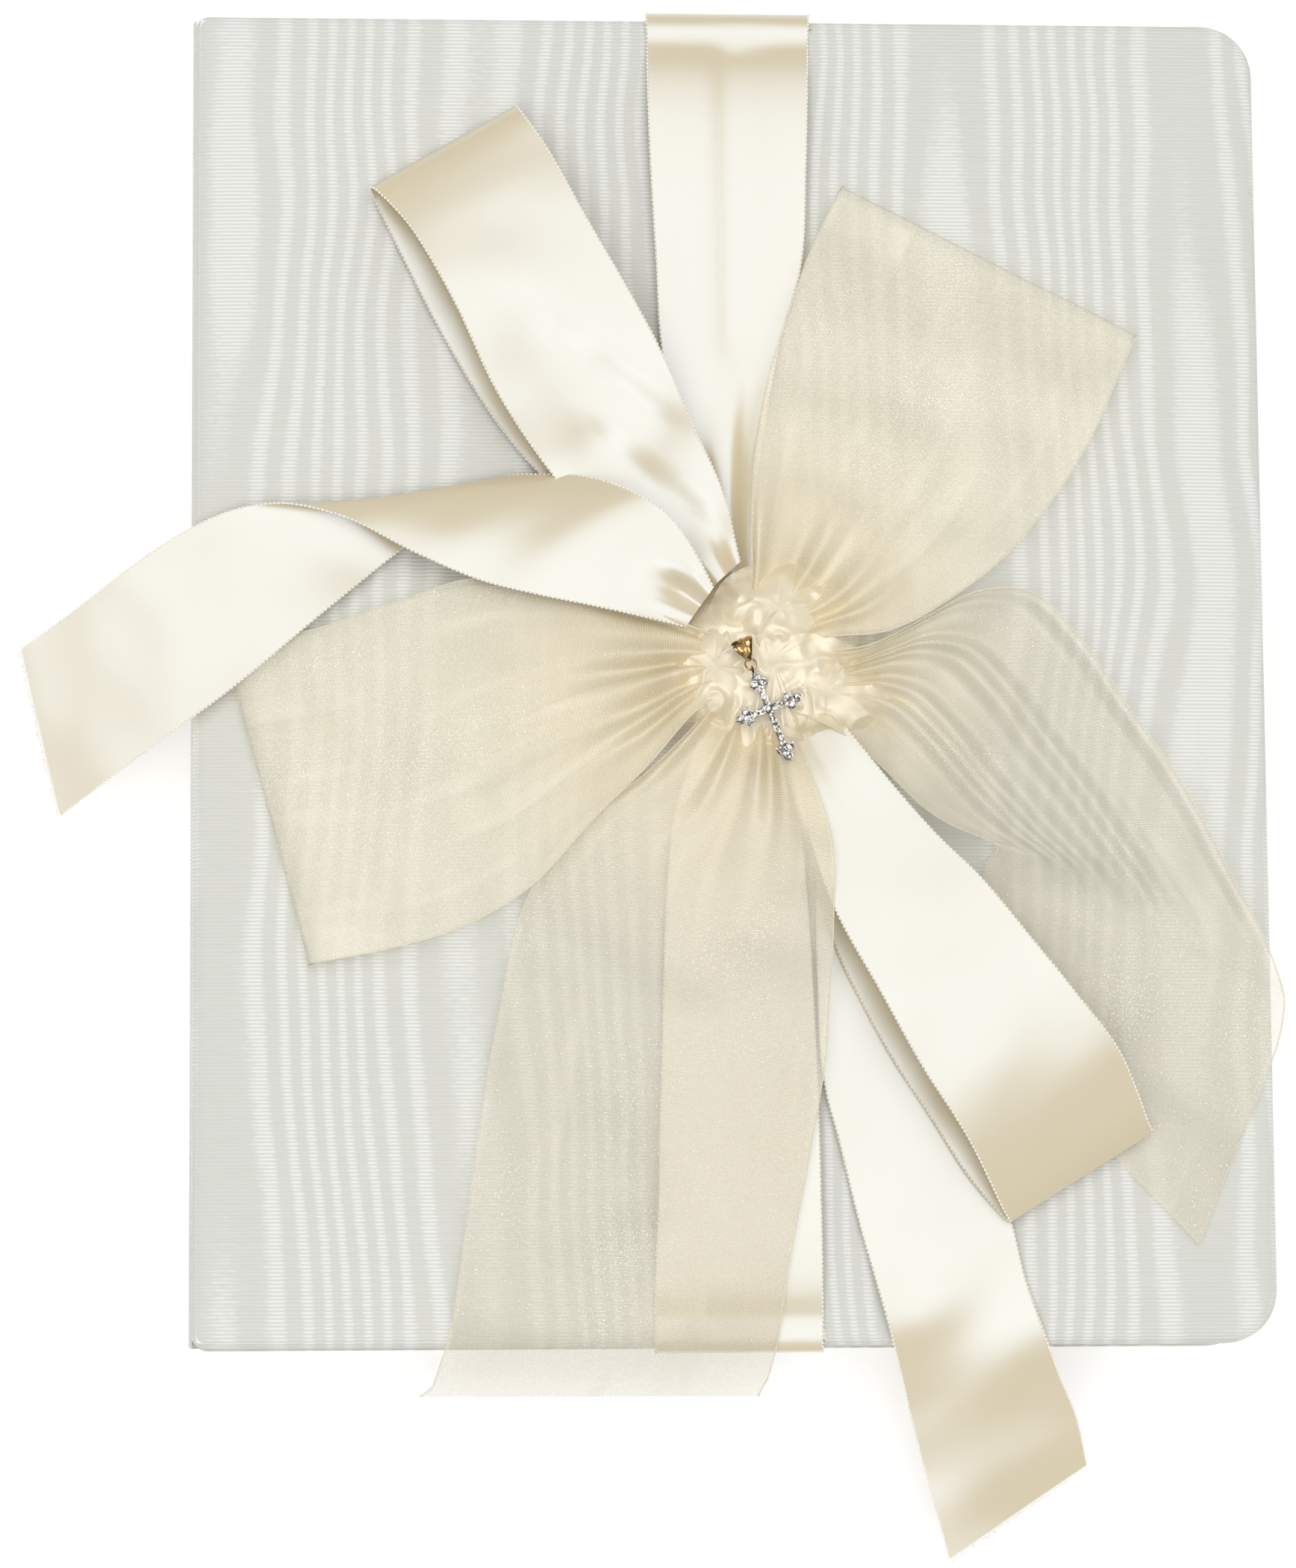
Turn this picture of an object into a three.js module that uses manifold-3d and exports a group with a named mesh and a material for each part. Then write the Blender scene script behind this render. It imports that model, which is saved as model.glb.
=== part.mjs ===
// A closed prayer book in a cloth case, with a satin band and bow, a sheer organza bow tied over it,
// and a small stone-set cross sewn on the knot.
//
// Frame, in millimetres: the origin is the middle of the back cover's underside. +X points to the fore
// edge, +Y to the head of the book and +Z up through the front cover, so the spine is on the -X side.

import * as THREE from 'three';
import { mergeVertices } from 'three/addons/utils/BufferGeometryUtils.js';
import Module from 'manifold-3d';

const wasm = await Module();
wasm.setup();

// ---- Driving dimensions -------------------------------------------------------------------------

const coverWidth = 163;
const coverHeight = 203;
const foreCornerRadius = 8;
const spineCornerRadius = 1.2;

const clothThickness = 0.5;
const boardThickness = 2.2;
const paddingThickness = 1.0;
const pastedownThickness = 0.3;
const fit = 0.3; // clearance between one layer and the next

const square = 4; // how far the covers stand out past the leaves
const sectionCount = 7;
const sectionThickness = 1.4;
const sectionPitch = 1.7;
const leafGap = 0.2;

const satinWidth = 25;
const ribbonThickness = 0.5;
const loopThickness = 2.4;

const knotCentre = new THREE.Vector2(4, 1);
const knotRise = 5.6; // from the cover to the underside of the organza knot
const knotHeight = 5.4;

const crossCentre = new THREE.Vector2(4.4, -7.3);
const crossRise = 0.5; // from the knot to the back of the cross

const crossLean = 22; // degrees that the cross leans away from the head
const stoneRadius = 0.56;
const seatRadius = 0.68; // the metal disc under each round stone

// ---- Levels, from the back cover up to the front ------------------------------------------------

const halfWidth = coverWidth / 2;
const halfHeight = coverHeight / 2;

const backBoardBottom = clothThickness + fit;
const backBoardTop = backBoardBottom + boardThickness;
const backPastedownBottom = backBoardTop + fit;
const backFlyleafBottom = backPastedownBottom + pastedownThickness + fit;
const sectionsBottom = backFlyleafBottom + pastedownThickness + fit;
const sectionsTop = sectionsBottom + (sectionCount - 1) * sectionPitch + sectionThickness;
const lowerLeavesBottom = sectionsTop + fit;
const leafGroupThickness = 0.5;
const upperLeavesBottom = lowerLeavesBottom + leafGroupThickness + leafGap;
const frontFlyleafBottom = upperLeavesBottom + leafGroupThickness + leafGap;
const frontPastedownBottom = frontFlyleafBottom + pastedownThickness + fit;
const frontBoardBottom = frontPastedownBottom + pastedownThickness + fit;
const paddingBottom = frontBoardBottom + boardThickness + fit;
const coverTop = paddingBottom + paddingThickness + fit + clothThickness;

const leafLeft = -halfWidth + square;
const leafRight = halfWidth - square;
const leafHalfHeight = halfHeight - square;

// ---- Materials ----------------------------------------------------------------------------------

const clothColour = 0xe6e7e1;
const boardColour = 0xa59b88;
const paddingColour = 0xf4f2ea;
const paperColour = 0xf3efe2;
const satinColour = 0xf4ecd6;
const organzaColour = 0xefe8c9;
const bandColour = 0xf0e2b4;
const goldColour = 0xd9b45a;
const whiteGoldColour = 0xcfc8bb;
const stoneColour = 0xf4f6f8;
const threadColour = 0xf7f4ec;

function material(color, roughness, metalness = 0) {
  return new THREE.MeshStandardMaterial({ color, roughness, metalness });
}

// ---- Shape helpers ------------------------------------------------------------------------------

const book = new THREE.Group();

function add(name, geometry, surface, parent = book) {
  const mesh = new THREE.Mesh(geometry, surface);
  mesh.name = name;
  parent.add(mesh);
  return mesh;
}

function toSolid(geometry) {
  const bare = geometry.clone();
  bare.deleteAttribute('normal');
  bare.deleteAttribute('uv');
  const merged = mergeVertices(bare, 1e-4);
  const vertProperties = new Float32Array(merged.attributes.position.array);
  const triVerts = new Uint32Array(merged.index.array);
  return new wasm.Manifold(new wasm.Mesh({ numProp: 3, vertProperties, triVerts }));
}

function toGeometry(solid) {
  const mesh = solid.getMesh();
  const geometry = new THREE.BufferGeometry();
  geometry.setAttribute('position', new THREE.BufferAttribute(new Float32Array(mesh.vertProperties), 3));
  geometry.setIndex(new THREE.BufferAttribute(new Uint32Array(mesh.triVerts), 1));
  return geometry;
}

// A rectangle with one radius at its spine-side corners and another at its fore-edge corners.
function coverOutline(left, right, halfLength, spineRadius, foreRadius) {
  const outline = new THREE.Shape();
  outline.absarc(right - foreRadius, halfLength - foreRadius, foreRadius, 0, Math.PI / 2);
  outline.absarc(left + spineRadius, halfLength - spineRadius, spineRadius, Math.PI / 2, Math.PI);
  outline.absarc(left + spineRadius, spineRadius - halfLength, spineRadius, Math.PI, Math.PI * 1.5);
  outline.absarc(right - foreRadius, foreRadius - halfLength, foreRadius, Math.PI * 1.5, Math.PI * 2);
  return outline;
}

function extrude(shape, bottom, height, curveSegments = 6) {
  const geometry = new THREE.ExtrudeGeometry(shape, { depth: height, bevelEnabled: false, curveSegments });
  geometry.translate(0, 0, bottom);
  return geometry;
}

// A plate as large as the case, drawn in from its edge on all sides.
function casePlate(inset, bottom, height) {
  const outline = coverOutline(
    -halfWidth + inset,
    halfWidth - inset,
    halfHeight - inset,
    Math.max(spineCornerRadius - inset, 0.4),
    foreCornerRadius - inset,
  );
  return extrude(outline, bottom, height);
}

// The cloth on a cover: a face and four low walls, open on the inner side for the board.
function clothTray(bottom, height, faceIsUp) {
  const outer = toSolid(casePlate(0, bottom, height));
  const hollowBottom = faceIsUp ? bottom - 1 : bottom + clothThickness;
  const hollow = toSolid(casePlate(clothThickness, hollowBottom, height + 1 - clothThickness));
  return toGeometry(outer.subtract(hollow));
}

function box(left, right, front, back, bottom, top) {
  const geometry = new THREE.BoxGeometry(right - left, back - front, top - bottom);
  geometry.translate((left + right) / 2, (front + back) / 2, (bottom + top) / 2);
  return geometry;
}

// ---- Case: back cover, spine and front cover ----------------------------------------------------

function addBackCover() {
  const cloth = material(clothColour, 0.8);
  add('back_cloth', clothTray(0, backBoardTop, false), cloth);
  add('back_board', casePlate(clothThickness + fit, backBoardBottom, boardThickness), material(boardColour, 0.9));
  const inset = square - 0.5;
  add('back_pastedown', casePlate(inset, backPastedownBottom, pastedownThickness), material(paperColour, 0.85));
}

function addSpine() {
  const bottom = backBoardTop + 0.5;
  const top = frontBoardBottom - 0.5;
  const boardLeft = -halfWidth + clothThickness + fit;
  const boardRight = boardLeft + 1.8;
  const boardHalfHeight = halfHeight - clothThickness - fit;
  const shell = toSolid(box(-halfWidth, boardRight, -halfHeight, halfHeight, bottom, top));
  const innerHalfHeight = halfHeight - clothThickness;
  const innerLeft = -halfWidth + clothThickness;
  const hollow = toSolid(box(innerLeft, boardRight + 1, -innerHalfHeight, innerHalfHeight, bottom - 1, top + 1));
  add('spine_cloth', toGeometry(shell.subtract(hollow)), material(clothColour, 0.8));
  const board = box(boardLeft, boardRight, -boardHalfHeight, boardHalfHeight, bottom, top);
  add('spine_board', board, material(boardColour, 0.9));
}

function addFrontCover() {
  const clothHeight = coverTop - frontBoardBottom;
  add('front_cloth', clothTray(frontBoardBottom, clothHeight, true), material(clothColour, 0.8));
  const boardInset = clothThickness + fit;
  add('front_board', casePlate(boardInset, frontBoardBottom, boardThickness), material(boardColour, 0.9));
  add('front_padding', casePlate(boardInset, paddingBottom, paddingThickness), material(paddingColour, 0.95));
  const inset = square - 0.5;
  add('front_pastedown', casePlate(inset, frontPastedownBottom, pastedownThickness), material(paperColour, 0.85));
}

// ---- Text block and the leaves that turn --------------------------------------------------------

function leafPlate(left, bottom, thickness) {
  return box(left, leafRight, -leafHalfHeight, leafHalfHeight, bottom, bottom + thickness);
}

// A sewn section is square at the fore edge and rounded at its folded back.
function sectionSolid(bottom) {
  const radius = sectionThickness / 2;
  const profile = new THREE.Shape();
  profile.moveTo(leafRight, 0);
  profile.lineTo(leafRight, sectionThickness);
  profile.absarc(leafLeft + radius, radius, radius, Math.PI / 2, Math.PI * 1.5);
  const geometry = extrude(profile, 0, leafHalfHeight * 2, 5);
  geometry.rotateX(Math.PI / 2);
  geometry.translate(0, leafHalfHeight, bottom);
  return geometry;
}

function addTextBlock() {
  const paper = () => material(paperColour, 0.85);
  add('back_flyleaf', leafPlate(leafLeft, backFlyleafBottom, pastedownThickness), paper());
  for (let i = 0; i < sectionCount; i += 1) {
    add(`section_${i + 1}`, sectionSolid(sectionsBottom + i * sectionPitch), paper());
  }
  const liningRight = leafLeft - fit;
  const lining = box(liningRight - 0.4, liningRight, -leafHalfHeight, leafHalfHeight, sectionsBottom, sectionsTop);
  add('spine_lining', lining, material(0xd8d2c2, 0.9));
  const bandRadius = 0.8;
  const bandLength = sectionsTop - sectionsBottom;
  for (const [name, side] of [['headband', 1], ['tailband', -1]]) {
    const band = new THREE.CylinderGeometry(bandRadius, bandRadius, bandLength, 12);
    band.rotateX(Math.PI / 2);
    band.translate(leafLeft + bandRadius, side * (leafHalfHeight + fit + bandRadius), sectionsBottom + bandLength / 2);
    add(name, band, material(bandColour, 0.6));
  }
}

// Each leaf's left edge is its hinge, and a higher leaf turns about a line further to the left.
function addTurningLeaves() {
  const step = 0.6;
  add('leaf_group_2', leafPlate(leafLeft + 2 * step, lowerLeavesBottom, leafGroupThickness), material(paperColour, 0.85));
  add('leaf_group_1', leafPlate(leafLeft + step, upperLeavesBottom, leafGroupThickness), material(paperColour, 0.85));
  add('front_flyleaf', leafPlate(leafLeft, frontFlyleafBottom, pastedownThickness), material(paperColour, 0.85));
}

// ---- Ribbons ------------------------------------------------------------------------------------

// Points on the bow are written [x, y, height over the cover].
function overCover(points) {
  return points.map(([x, y, height]) => new THREE.Vector3(x, y, coverTop + height));
}

// A thin closed slab between two edge curves. Both run the same way, and left and right are as seen
// from above by someone walking along the ribbon. A folded strip keeps its corner points as they are.
function ribbonSlab(left, right, { thickness = ribbonThickness, rows = 14, columns = 3, folded = false } = {}) {
  const count = folded ? left.length - 1 : rows;
  const leftCurve = new THREE.CatmullRomCurve3(left);
  const rightCurve = new THREE.CatmullRomCurve3(right);
  const middle = [];
  for (let i = 0; i <= count; i += 1) {
    const a = folded ? left[i] : leftCurve.getPoint(i / count);
    const b = folded ? right[i] : rightCurve.getPoint(i / count);
    const row = [];
    for (let j = 0; j <= columns; j += 1) row.push(new THREE.Vector3().lerpVectors(a, b, j / columns));
    middle.push(row);
  }
  const positions = [];
  for (const side of [0.5, -0.5]) {
    for (let i = 0; i <= count; i += 1) {
      for (let j = 0; j <= columns; j += 1) {
        const along = new THREE.Vector3().subVectors(middle[Math.min(i + 1, count)][j], middle[Math.max(i - 1, 0)][j]);
        const across = new THREE.Vector3().subVectors(middle[i][columns], middle[i][0]);
        const normal = new THREE.Vector3().crossVectors(across, along).normalize();
        positions.push(...middle[i][j].clone().addScaledVector(normal, side * thickness).toArray());
      }
    }
  }
  const stride = columns + 1;
  const layer = (count + 1) * stride;
  const triangles = [];
  const quad = (a, b, c, d) => triangles.push(a, b, c, a, c, d);
  for (let i = 0; i < count; i += 1) {
    for (let j = 0; j < columns; j += 1) {
      const a = i * stride + j;
      quad(a, a + 1, a + 1 + stride, a + stride);
      quad(a + layer, a + layer + stride, a + layer + stride + 1, a + layer + 1);
    }
    const start = i * stride;
    const end = start + columns;
    quad(start, start + stride, start + stride + layer, start + layer);
    quad(end, end + layer, end + stride + layer, end + stride);
  }
  for (let j = 0; j < columns; j += 1) {
    const last = count * stride + j;
    quad(j, j + layer, j + 1 + layer, j + 1);
    quad(last, last + 1, last + 1 + layer, last + layer);
  }
  const geometry = new THREE.BufferGeometry();
  geometry.setAttribute('position', new THREE.Float32BufferAttribute(positions, 3));
  geometry.setIndex(triangles);
  return geometry;
}

function addSatin(name, left, right, options) {
  return add(name, ribbonSlab(overCover(left), overCover(right), options), material(satinColour, 0.3));
}

function addOrganza(name, left, right, options) {
  return add(name, ribbonSlab(overCover(left), overCover(right), options), material(organzaColour, 0.5));
}

// The band runs from its turned-in end at the head, over the cover and under the knot, to the tail.
function addSatinBand() {
  const wide = satinWidth / 2;
  const turnedIn = leafHalfHeight + 0.8;
  const edge = halfHeight + fit + ribbonThickness / 2;
  const below = frontBoardBottom - coverTop - fit - ribbonThickness / 2;
  const above = fit + ribbonThickness / 2;
  const half = [
    [wide, wide, turnedIn, below],
    [wide, wide, edge, below],
    [wide, wide, edge, above],
    [11.9, 11.8, 76, above],
    [10.4, 8.5, 50, above],
    [6.5, 4.5, 28, above],
    [3, 3.5, 12, above],
  ];
  const left = [];
  const right = [];
  for (const [west, east, y, height] of half) {
    left.push([east, y, height]);
    right.push([-west, y, height]);
  }
  for (const [west, east, y, height] of half.toReversed()) {
    left.push([east, -y, height]);
    right.push([-west, -y, height]);
  }
  addSatin('satin_band', left, right, { folded: true, columns: 1 });
}

function addSatinBow() {
  addSatin(
    'satin_loop_upper',
    [[-11, 19, 2.6], [-28, 31, 2.4], [-37, 44, 2.4], [-45, 60, 2.4], [-54, 74.5, 2.0]],
    [[-2, 21, 2.6], [-6, 38, 2.4], [-13, 54, 2.4], [-22, 70, 2.4], [-32, 87, 2.0]],
    { thickness: loopThickness },
  );
  addSatin(
    'satin_loop_lower',
    [[21.5, -15.5, 3.2], [32, -27.5, 3.2], [46, -43, 3.0], [56, -57, 3.0], [62.5, -69.5, 2.8]],
    [[17, -16, 3.2], [19, -40, 3.2], [27, -57, 3.0], [35, -70.5, 3.0], [41, -82.5, 2.8]],
    { thickness: loopThickness },
  );
  addSatin(
    'satin_tail_left',
    [[-11, 11, 4.8], [-22, 14, 4.6], [-38, 15.5, 2.4], [-48, 18.5, 1.5], [-58, 23.5, 1.3]],
    [[-6.5, 18, 4.8], [-14.5, 26.5, 4.8], [-27, 30, 4.4], [-50, 28, 2.0], [-70, 25.5, 1.3]],
  );
  addSatin(
    'satin_tail_left_turn',
    [[-50, 19, 2.7], [-62, 9, 3.0], [-69, 3, 2.8], [-75.5, -2.5, 2.0], [-81.6, -7.2, 1.3]],
    [[-56, 22.5, 2.7], [-63, 24.5, 2.7], [-69, 25.5, 2.5], [-76, 24, 2.0], [-81.6, 21.5, 1.3]],
  );
  addSatin(
    'satin_tail_left_end',
    [[-82.5, -7.8, 1.2], [-88, -12, 0.2], [-95, -17, -3], [-101, -22, -7]],
    [[-82.5, 21, 1.2], [-91.5, 15, 0.2], [-99, 9.5, -3], [-107, 2.5, -7]],
    { rows: 8 },
  );
  addSatin(
    'satin_tail_lower',
    [[24, -30, 1.0], [34, -62, 1.0], [41, -83, 1.0], [47, -102.5, 0.6], [51, -117.5, -5]],
    [[17, -32, 1.0], [15, -68, 1.0], [18.5, -84, 1.0], [23.5, -102, 0.6], [31, -133, -9]],
  );
  const knot = new THREE.SphereGeometry(1, 14, 8);
  knot.scale(7, 6, 2);
  knot.translate(knotCentre.x - 2, knotCentre.y + 1, coverTop + 3.2);
  add('satin_knot', knot, material(satinColour, 0.3));
}

function addOrganzaBow() {
  addOrganza(
    'organza_loop_upper',
    [[4, 18, 2.6], [3.5, 27, 2.6], [5.5, 43, 2.6], [11, 61.5, 2.6], [17.5, 75, 2.2]],
    [[15, 11, 2.6], [33, 13.5, 2.6], [48, 26.5, 2.6], [57, 41, 2.6], [62.5, 52.5, 2.2]],
    { thickness: loopThickness, columns: 4 },
  );
  addOrganza(
    'organza_loop_left',
    [[-9, -8, 2.2], [-20, -21, 1.8], [-30, -32, 1.2], [-46, -40.5, 1.2], [-64, -44.5, 1.2]],
    [[-12, 7, 2.2], [-25, 11, 1.8], [-39, 13, 1.2], [-55, 9, 1.2], [-75, -2, 1.2]],
    { thickness: 1.4, columns: 4 },
  );
  addOrganza(
    'organza_tail_right',
    [[17, 2, 2.6], [37, 10.5, 2.2], [51, 7, 1.9], [67, -15.5, 1.9], [82, -43.5, 1.9]],
    [[17, -7, 2.6], [30, -20, 2.2], [45, -29, 1.9], [62, -37, 1.9], [79, -45, 1.9]],
    { columns: 4 },
  );
  addOrganza(
    'organza_tail_right_turn',
    [[82.5, -48, 0.9], [81.5, -56, 0.9], [76.5, -70, 0.9], [69.5, -86.5, 0.9]],
    [[42, -32, 0.9], [46, -48, 0.9], [52, -63, 0.9], [58, -74.5, 0.9]],
    { columns: 4 },
  );
  addOrganza(
    'organza_tail_lower',
    [[9, -14, 2.4], [14.5, -27, 1.8], [14, -50, 1.3], [10, -77, 1.3], [6.5, -101.5, 1.3], [4, -108, -4]],
    [[-8, -11, 2.4], [-28, -31, 1.8], [-35, -50, 1.3], [-39.5, -77, 1.3], [-43.5, -101.5, 1.3], [-46, -108, -4]],
    { columns: 4, rows: 16 },
  );
  const knot = new THREE.SphereGeometry(1, 18, 10);
  knot.scale(12, 11, knotHeight / 2);
  knot.translate(knotCentre.x, knotCentre.y, coverTop + knotRise + knotHeight / 2);
  add('organza_knot', knot, material(organzaColour, 0.5));
}

// ---- Pendant ------------------------------------------------------------------------------------

// The cross lies flat in its own turned frame: its centre stone is at the origin, +Y is its top arm.
const frameThickness = 0.6;
const stoneBottom = frameThickness + 0.05;
const ringLevel = 0.75;
const armLengths = { top: 4.4, bottom: 6.8, left: 3.8, right: 3.8 };
const armTurns = { top: 0, left: 90, bottom: 180, right: 270 };
const trefoilReach = 0.78; // from a cluster's centre to the centre of each of its three stones
const prongReach = 1.5; // from a cluster's centre to the prong beyond each stone
const eyeletCentre = 6.4;
const ringRadius = 0.8;
const ringCentre = eyeletCentre + ringRadius;
const bailBottomCentre = ringCentre + ringRadius - 0.05;
const bailTopCentre = 10.9;

const pendant = new THREE.Group();
pendant.position.set(crossCentre.x, crossCentre.y, coverTop + knotRise + knotHeight + crossRise);
pendant.rotation.z = THREE.MathUtils.degToRad(crossLean);
book.add(pendant);

function roundTwig(x, y, bottom, height, radius, sides = 6) {
  const twig = new THREE.CylinderGeometry(radius, radius, height, sides);
  twig.rotateX(Math.PI / 2);
  twig.translate(x, y, bottom + height / 2);
  return twig;
}

// Three points round the end of an arm that points along +Y, one of them straight out.
function trefoil(armLength, reach) {
  return [90, 210, 330].map((degrees) => {
    const angle = THREE.MathUtils.degToRad(degrees);
    return [reach * Math.cos(angle), armLength + reach * Math.sin(angle)];
  });
}

function addCrossFrame() {
  let frame = toSolid(roundTwig(0, 0, 0, frameThickness, 0.75, 12));
  for (const [arm, length] of Object.entries(armLengths)) {
    const turn = THREE.MathUtils.degToRad(armTurns[arm]);
    const pieces = [box(-0.45, 0.45, 0.3, length + trefoilReach, 0, frameThickness)];
    for (const [x, y] of trefoil(length, trefoilReach)) {
      pieces.push(roundTwig(x, y, 0, frameThickness, seatRadius, 10));
    }
    for (const [x, y] of trefoil(length, prongReach)) {
      const isUnderEyelet = arm === 'top' && y > length + 1;
      if (!isUnderEyelet) pieces.push(roundTwig(x, y, 0, frameThickness + 0.45, 0.13));
    }
    for (const piece of pieces) {
      piece.rotateZ(turn);
      frame = frame.add(toSolid(piece));
    }
  }
  for (const x of [-0.38, 0.38]) {
    frame = frame.add(toSolid(roundTwig(x, -2.75, 0, frameThickness + 0.4, 0.16)));
  }
  frame = frame.add(toSolid(box(-0.2, 0.2, armLengths.top, eyeletCentre - 0.1, 0, 0.5)));
  const eyelet = new THREE.TorusGeometry(0.42, 0.13, 6, 14);
  eyelet.rotateY(Math.PI / 2);
  eyelet.translate(0, eyeletCentre, ringLevel);
  frame = frame.add(toSolid(eyelet));
  add('cross_frame', toGeometry(frame), material(whiteGoldColour, 0.15, 1), pendant);
}

// A round stone: a girdle with a low crown and a flat table.
function roundStone(radius) {
  const outline = [[0, 0], [radius * 0.7, 0], [radius, 0.22], [radius * 0.6, 0.42], [0, 0.42]];
  const stone = new THREE.LatheGeometry(outline.map(([x, y]) => new THREE.Vector2(x, y)), 8);
  stone.rotateX(Math.PI / 2);
  stone.translate(0, 0, stoneBottom);
  return stone;
}

// A baguette tapers towards the middle of the cross.
function baguette(start, end, innerHalf, outerHalf) {
  const outline = new THREE.Shape();
  outline.moveTo(-innerHalf, start);
  outline.lineTo(innerHalf, start);
  outline.lineTo(outerHalf, end);
  outline.lineTo(-outerHalf, end);
  outline.closePath();
  return extrude(outline, stoneBottom, 0.35);
}

function addStones() {
  const stone = () => material(stoneColour, 0.05);
  add('centre_stone', roundStone(0.55), stone(), pendant);
  for (const [arm, length] of Object.entries(armLengths)) {
    const turn = THREE.MathUtils.degToRad(armTurns[arm]);
    trefoil(length, trefoilReach).forEach(([x, y], index) => {
      const geometry = roundStone(stoneRadius);
      geometry.translate(x, y, 0);
      geometry.rotateZ(turn);
      add(`stone_${arm}_${index + 1}`, geometry, stone(), pendant);
    });
    const spans = arm === 'bottom' ? [[0.75, 2.45], [3.05, 5.2]] : [[0.75, length - 1.25]];
    spans.forEach(([start, end], index) => {
      const geometry = baguette(start, end, 0.24, 0.4);
      geometry.rotateZ(turn);
      add(`baguette_${arm}_${index + 1}`, geometry, stone(), pendant);
    });
  }
}

function addJumpRing() {
  const ring = new THREE.TorusGeometry(ringRadius, 0.14, 6, 18);
  ring.translate(0, ringCentre, ringLevel);
  add('jump_ring', ring, material(goldColour, 0.2, 1), pendant);
}

// The bail's side view: the hull of a small circle at the ring and a large one at the top.
function teardrop(lowRadius, highRadius) {
  const low = new THREE.Vector2(bailBottomCentre, ringLevel);
  const high = new THREE.Vector2(bailTopCentre, 1.15);
  const axis = Math.atan2(high.y - low.y, high.x - low.x);
  const flare = Math.PI / 2 + Math.asin((highRadius - lowRadius) / high.distanceTo(low));
  const outline = new THREE.Shape();
  outline.absarc(high.x, high.y, highRadius, axis - flare, axis + flare);
  outline.absarc(low.x, low.y, lowRadius, axis + flare, axis + Math.PI * 2 - flare);
  outline.closePath();
  return outline;
}

function addBail() {
  const width = 2.8;
  const lift = (shape, depth) => {
    const geometry = extrude(shape, -depth / 2, depth, 8);
    geometry.rotateX(Math.PI / 2);
    geometry.rotateZ(Math.PI / 2);
    return geometry;
  };
  const outer = toSolid(lift(teardrop(0.55, 1.1), width));
  const hole = toSolid(lift(teardrop(0.25, 0.78), width + 1));
  const taper = new THREE.Shape();
  taper.moveTo(-0.2, bailBottomCentre - 1);
  taper.lineTo(0.2, bailBottomCentre - 1);
  taper.lineTo(1.35, bailTopCentre + 1.5);
  taper.lineTo(-1.35, bailTopCentre + 1.5);
  taper.closePath();
  const wedge = toSolid(extrude(taper, -1, 5));
  add('bail', toGeometry(outer.subtract(hole).intersect(wedge)), material(goldColour, 0.2, 1), pendant);
}

// The thread runs through the bail and dips to the knot on both sides.
function addStitchThread() {
  const route = new THREE.CatmullRomCurve3([
    new THREE.Vector3(-5, 10.1, -0.2),
    new THREE.Vector3(-2.5, 10.5, 0.5),
    new THREE.Vector3(0, 10.7, 1.1),
    new THREE.Vector3(2.4, 10.8, 0.5),
    new THREE.Vector3(3.6, 10.8, 0.1),
  ]);
  const section = new THREE.Shape();
  section.absarc(0, 0, 0.1, 0, Math.PI * 2);
  const thread = new THREE.ExtrudeGeometry(section, { steps: 12, extrudePath: route, curveSegments: 3 });
  add('stitch_thread', thread, material(threadColour, 0.7), pendant);
}

addBackCover();
addSpine();
addTextBlock();
addTurningLeaves();
addFrontCover();
addSatinBand();
addSatinBow();
addOrganzaBow();
addCrossFrame();
addStones();
addJumpRing();
addBail();
addStitchThread();

export default book;
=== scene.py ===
"""A prayer book in a padded moiré case, tied with a satin and an organza ribbon and a cross pendant."""

import math

import bmesh
import bpy
from mathutils import Matrix, Vector, noise


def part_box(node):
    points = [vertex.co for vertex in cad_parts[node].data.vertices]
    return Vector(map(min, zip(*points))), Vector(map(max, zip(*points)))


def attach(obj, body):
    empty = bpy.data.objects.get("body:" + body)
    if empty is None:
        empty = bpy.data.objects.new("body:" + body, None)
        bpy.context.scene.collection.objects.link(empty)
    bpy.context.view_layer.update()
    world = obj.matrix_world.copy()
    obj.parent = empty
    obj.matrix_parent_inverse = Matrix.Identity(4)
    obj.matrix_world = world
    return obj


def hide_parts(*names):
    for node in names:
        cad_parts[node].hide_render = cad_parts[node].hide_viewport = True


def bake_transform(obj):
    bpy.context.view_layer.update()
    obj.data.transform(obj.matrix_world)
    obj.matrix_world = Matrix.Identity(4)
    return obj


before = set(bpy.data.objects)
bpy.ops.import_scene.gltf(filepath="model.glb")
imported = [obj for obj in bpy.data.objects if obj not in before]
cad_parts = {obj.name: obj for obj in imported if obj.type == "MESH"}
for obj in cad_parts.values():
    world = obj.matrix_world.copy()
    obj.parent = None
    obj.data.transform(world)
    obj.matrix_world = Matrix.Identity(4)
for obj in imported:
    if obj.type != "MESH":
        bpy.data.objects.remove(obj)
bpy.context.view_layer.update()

# Without a seed, noise_vector would differ from run to run.
noise.seed_set(5)

MM = 0.001
COVER_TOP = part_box("front_cloth")[1].z

# Camera, at the reference photograph's viewing angle.
CAMERA_AT = Vector((-0.064, -0.118, 0.823))
CAMERA_TURN_DEG = (7.2, -3.6, -0.4)
CAMERA_LENS_MM = 122.9
SENSOR_HEIGHT_MM = 36.0

# The glow overhead: the way to its middle, the cosines where it starts and is full, and the two strengths.
GLOW_TOWARDS = (0.03, 0.08, 1.0)
GLOW_EDGES = (0.81, 0.955)
GLOW_STRENGTHS = (0.43, 2.75)

# The square panel that adds sparkle, in metres and watts.
PANEL_AT = Vector((-0.45, -0.55, 1.25))
PANEL_SIZE = 0.5
PANEL_POWER = 2.5

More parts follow.
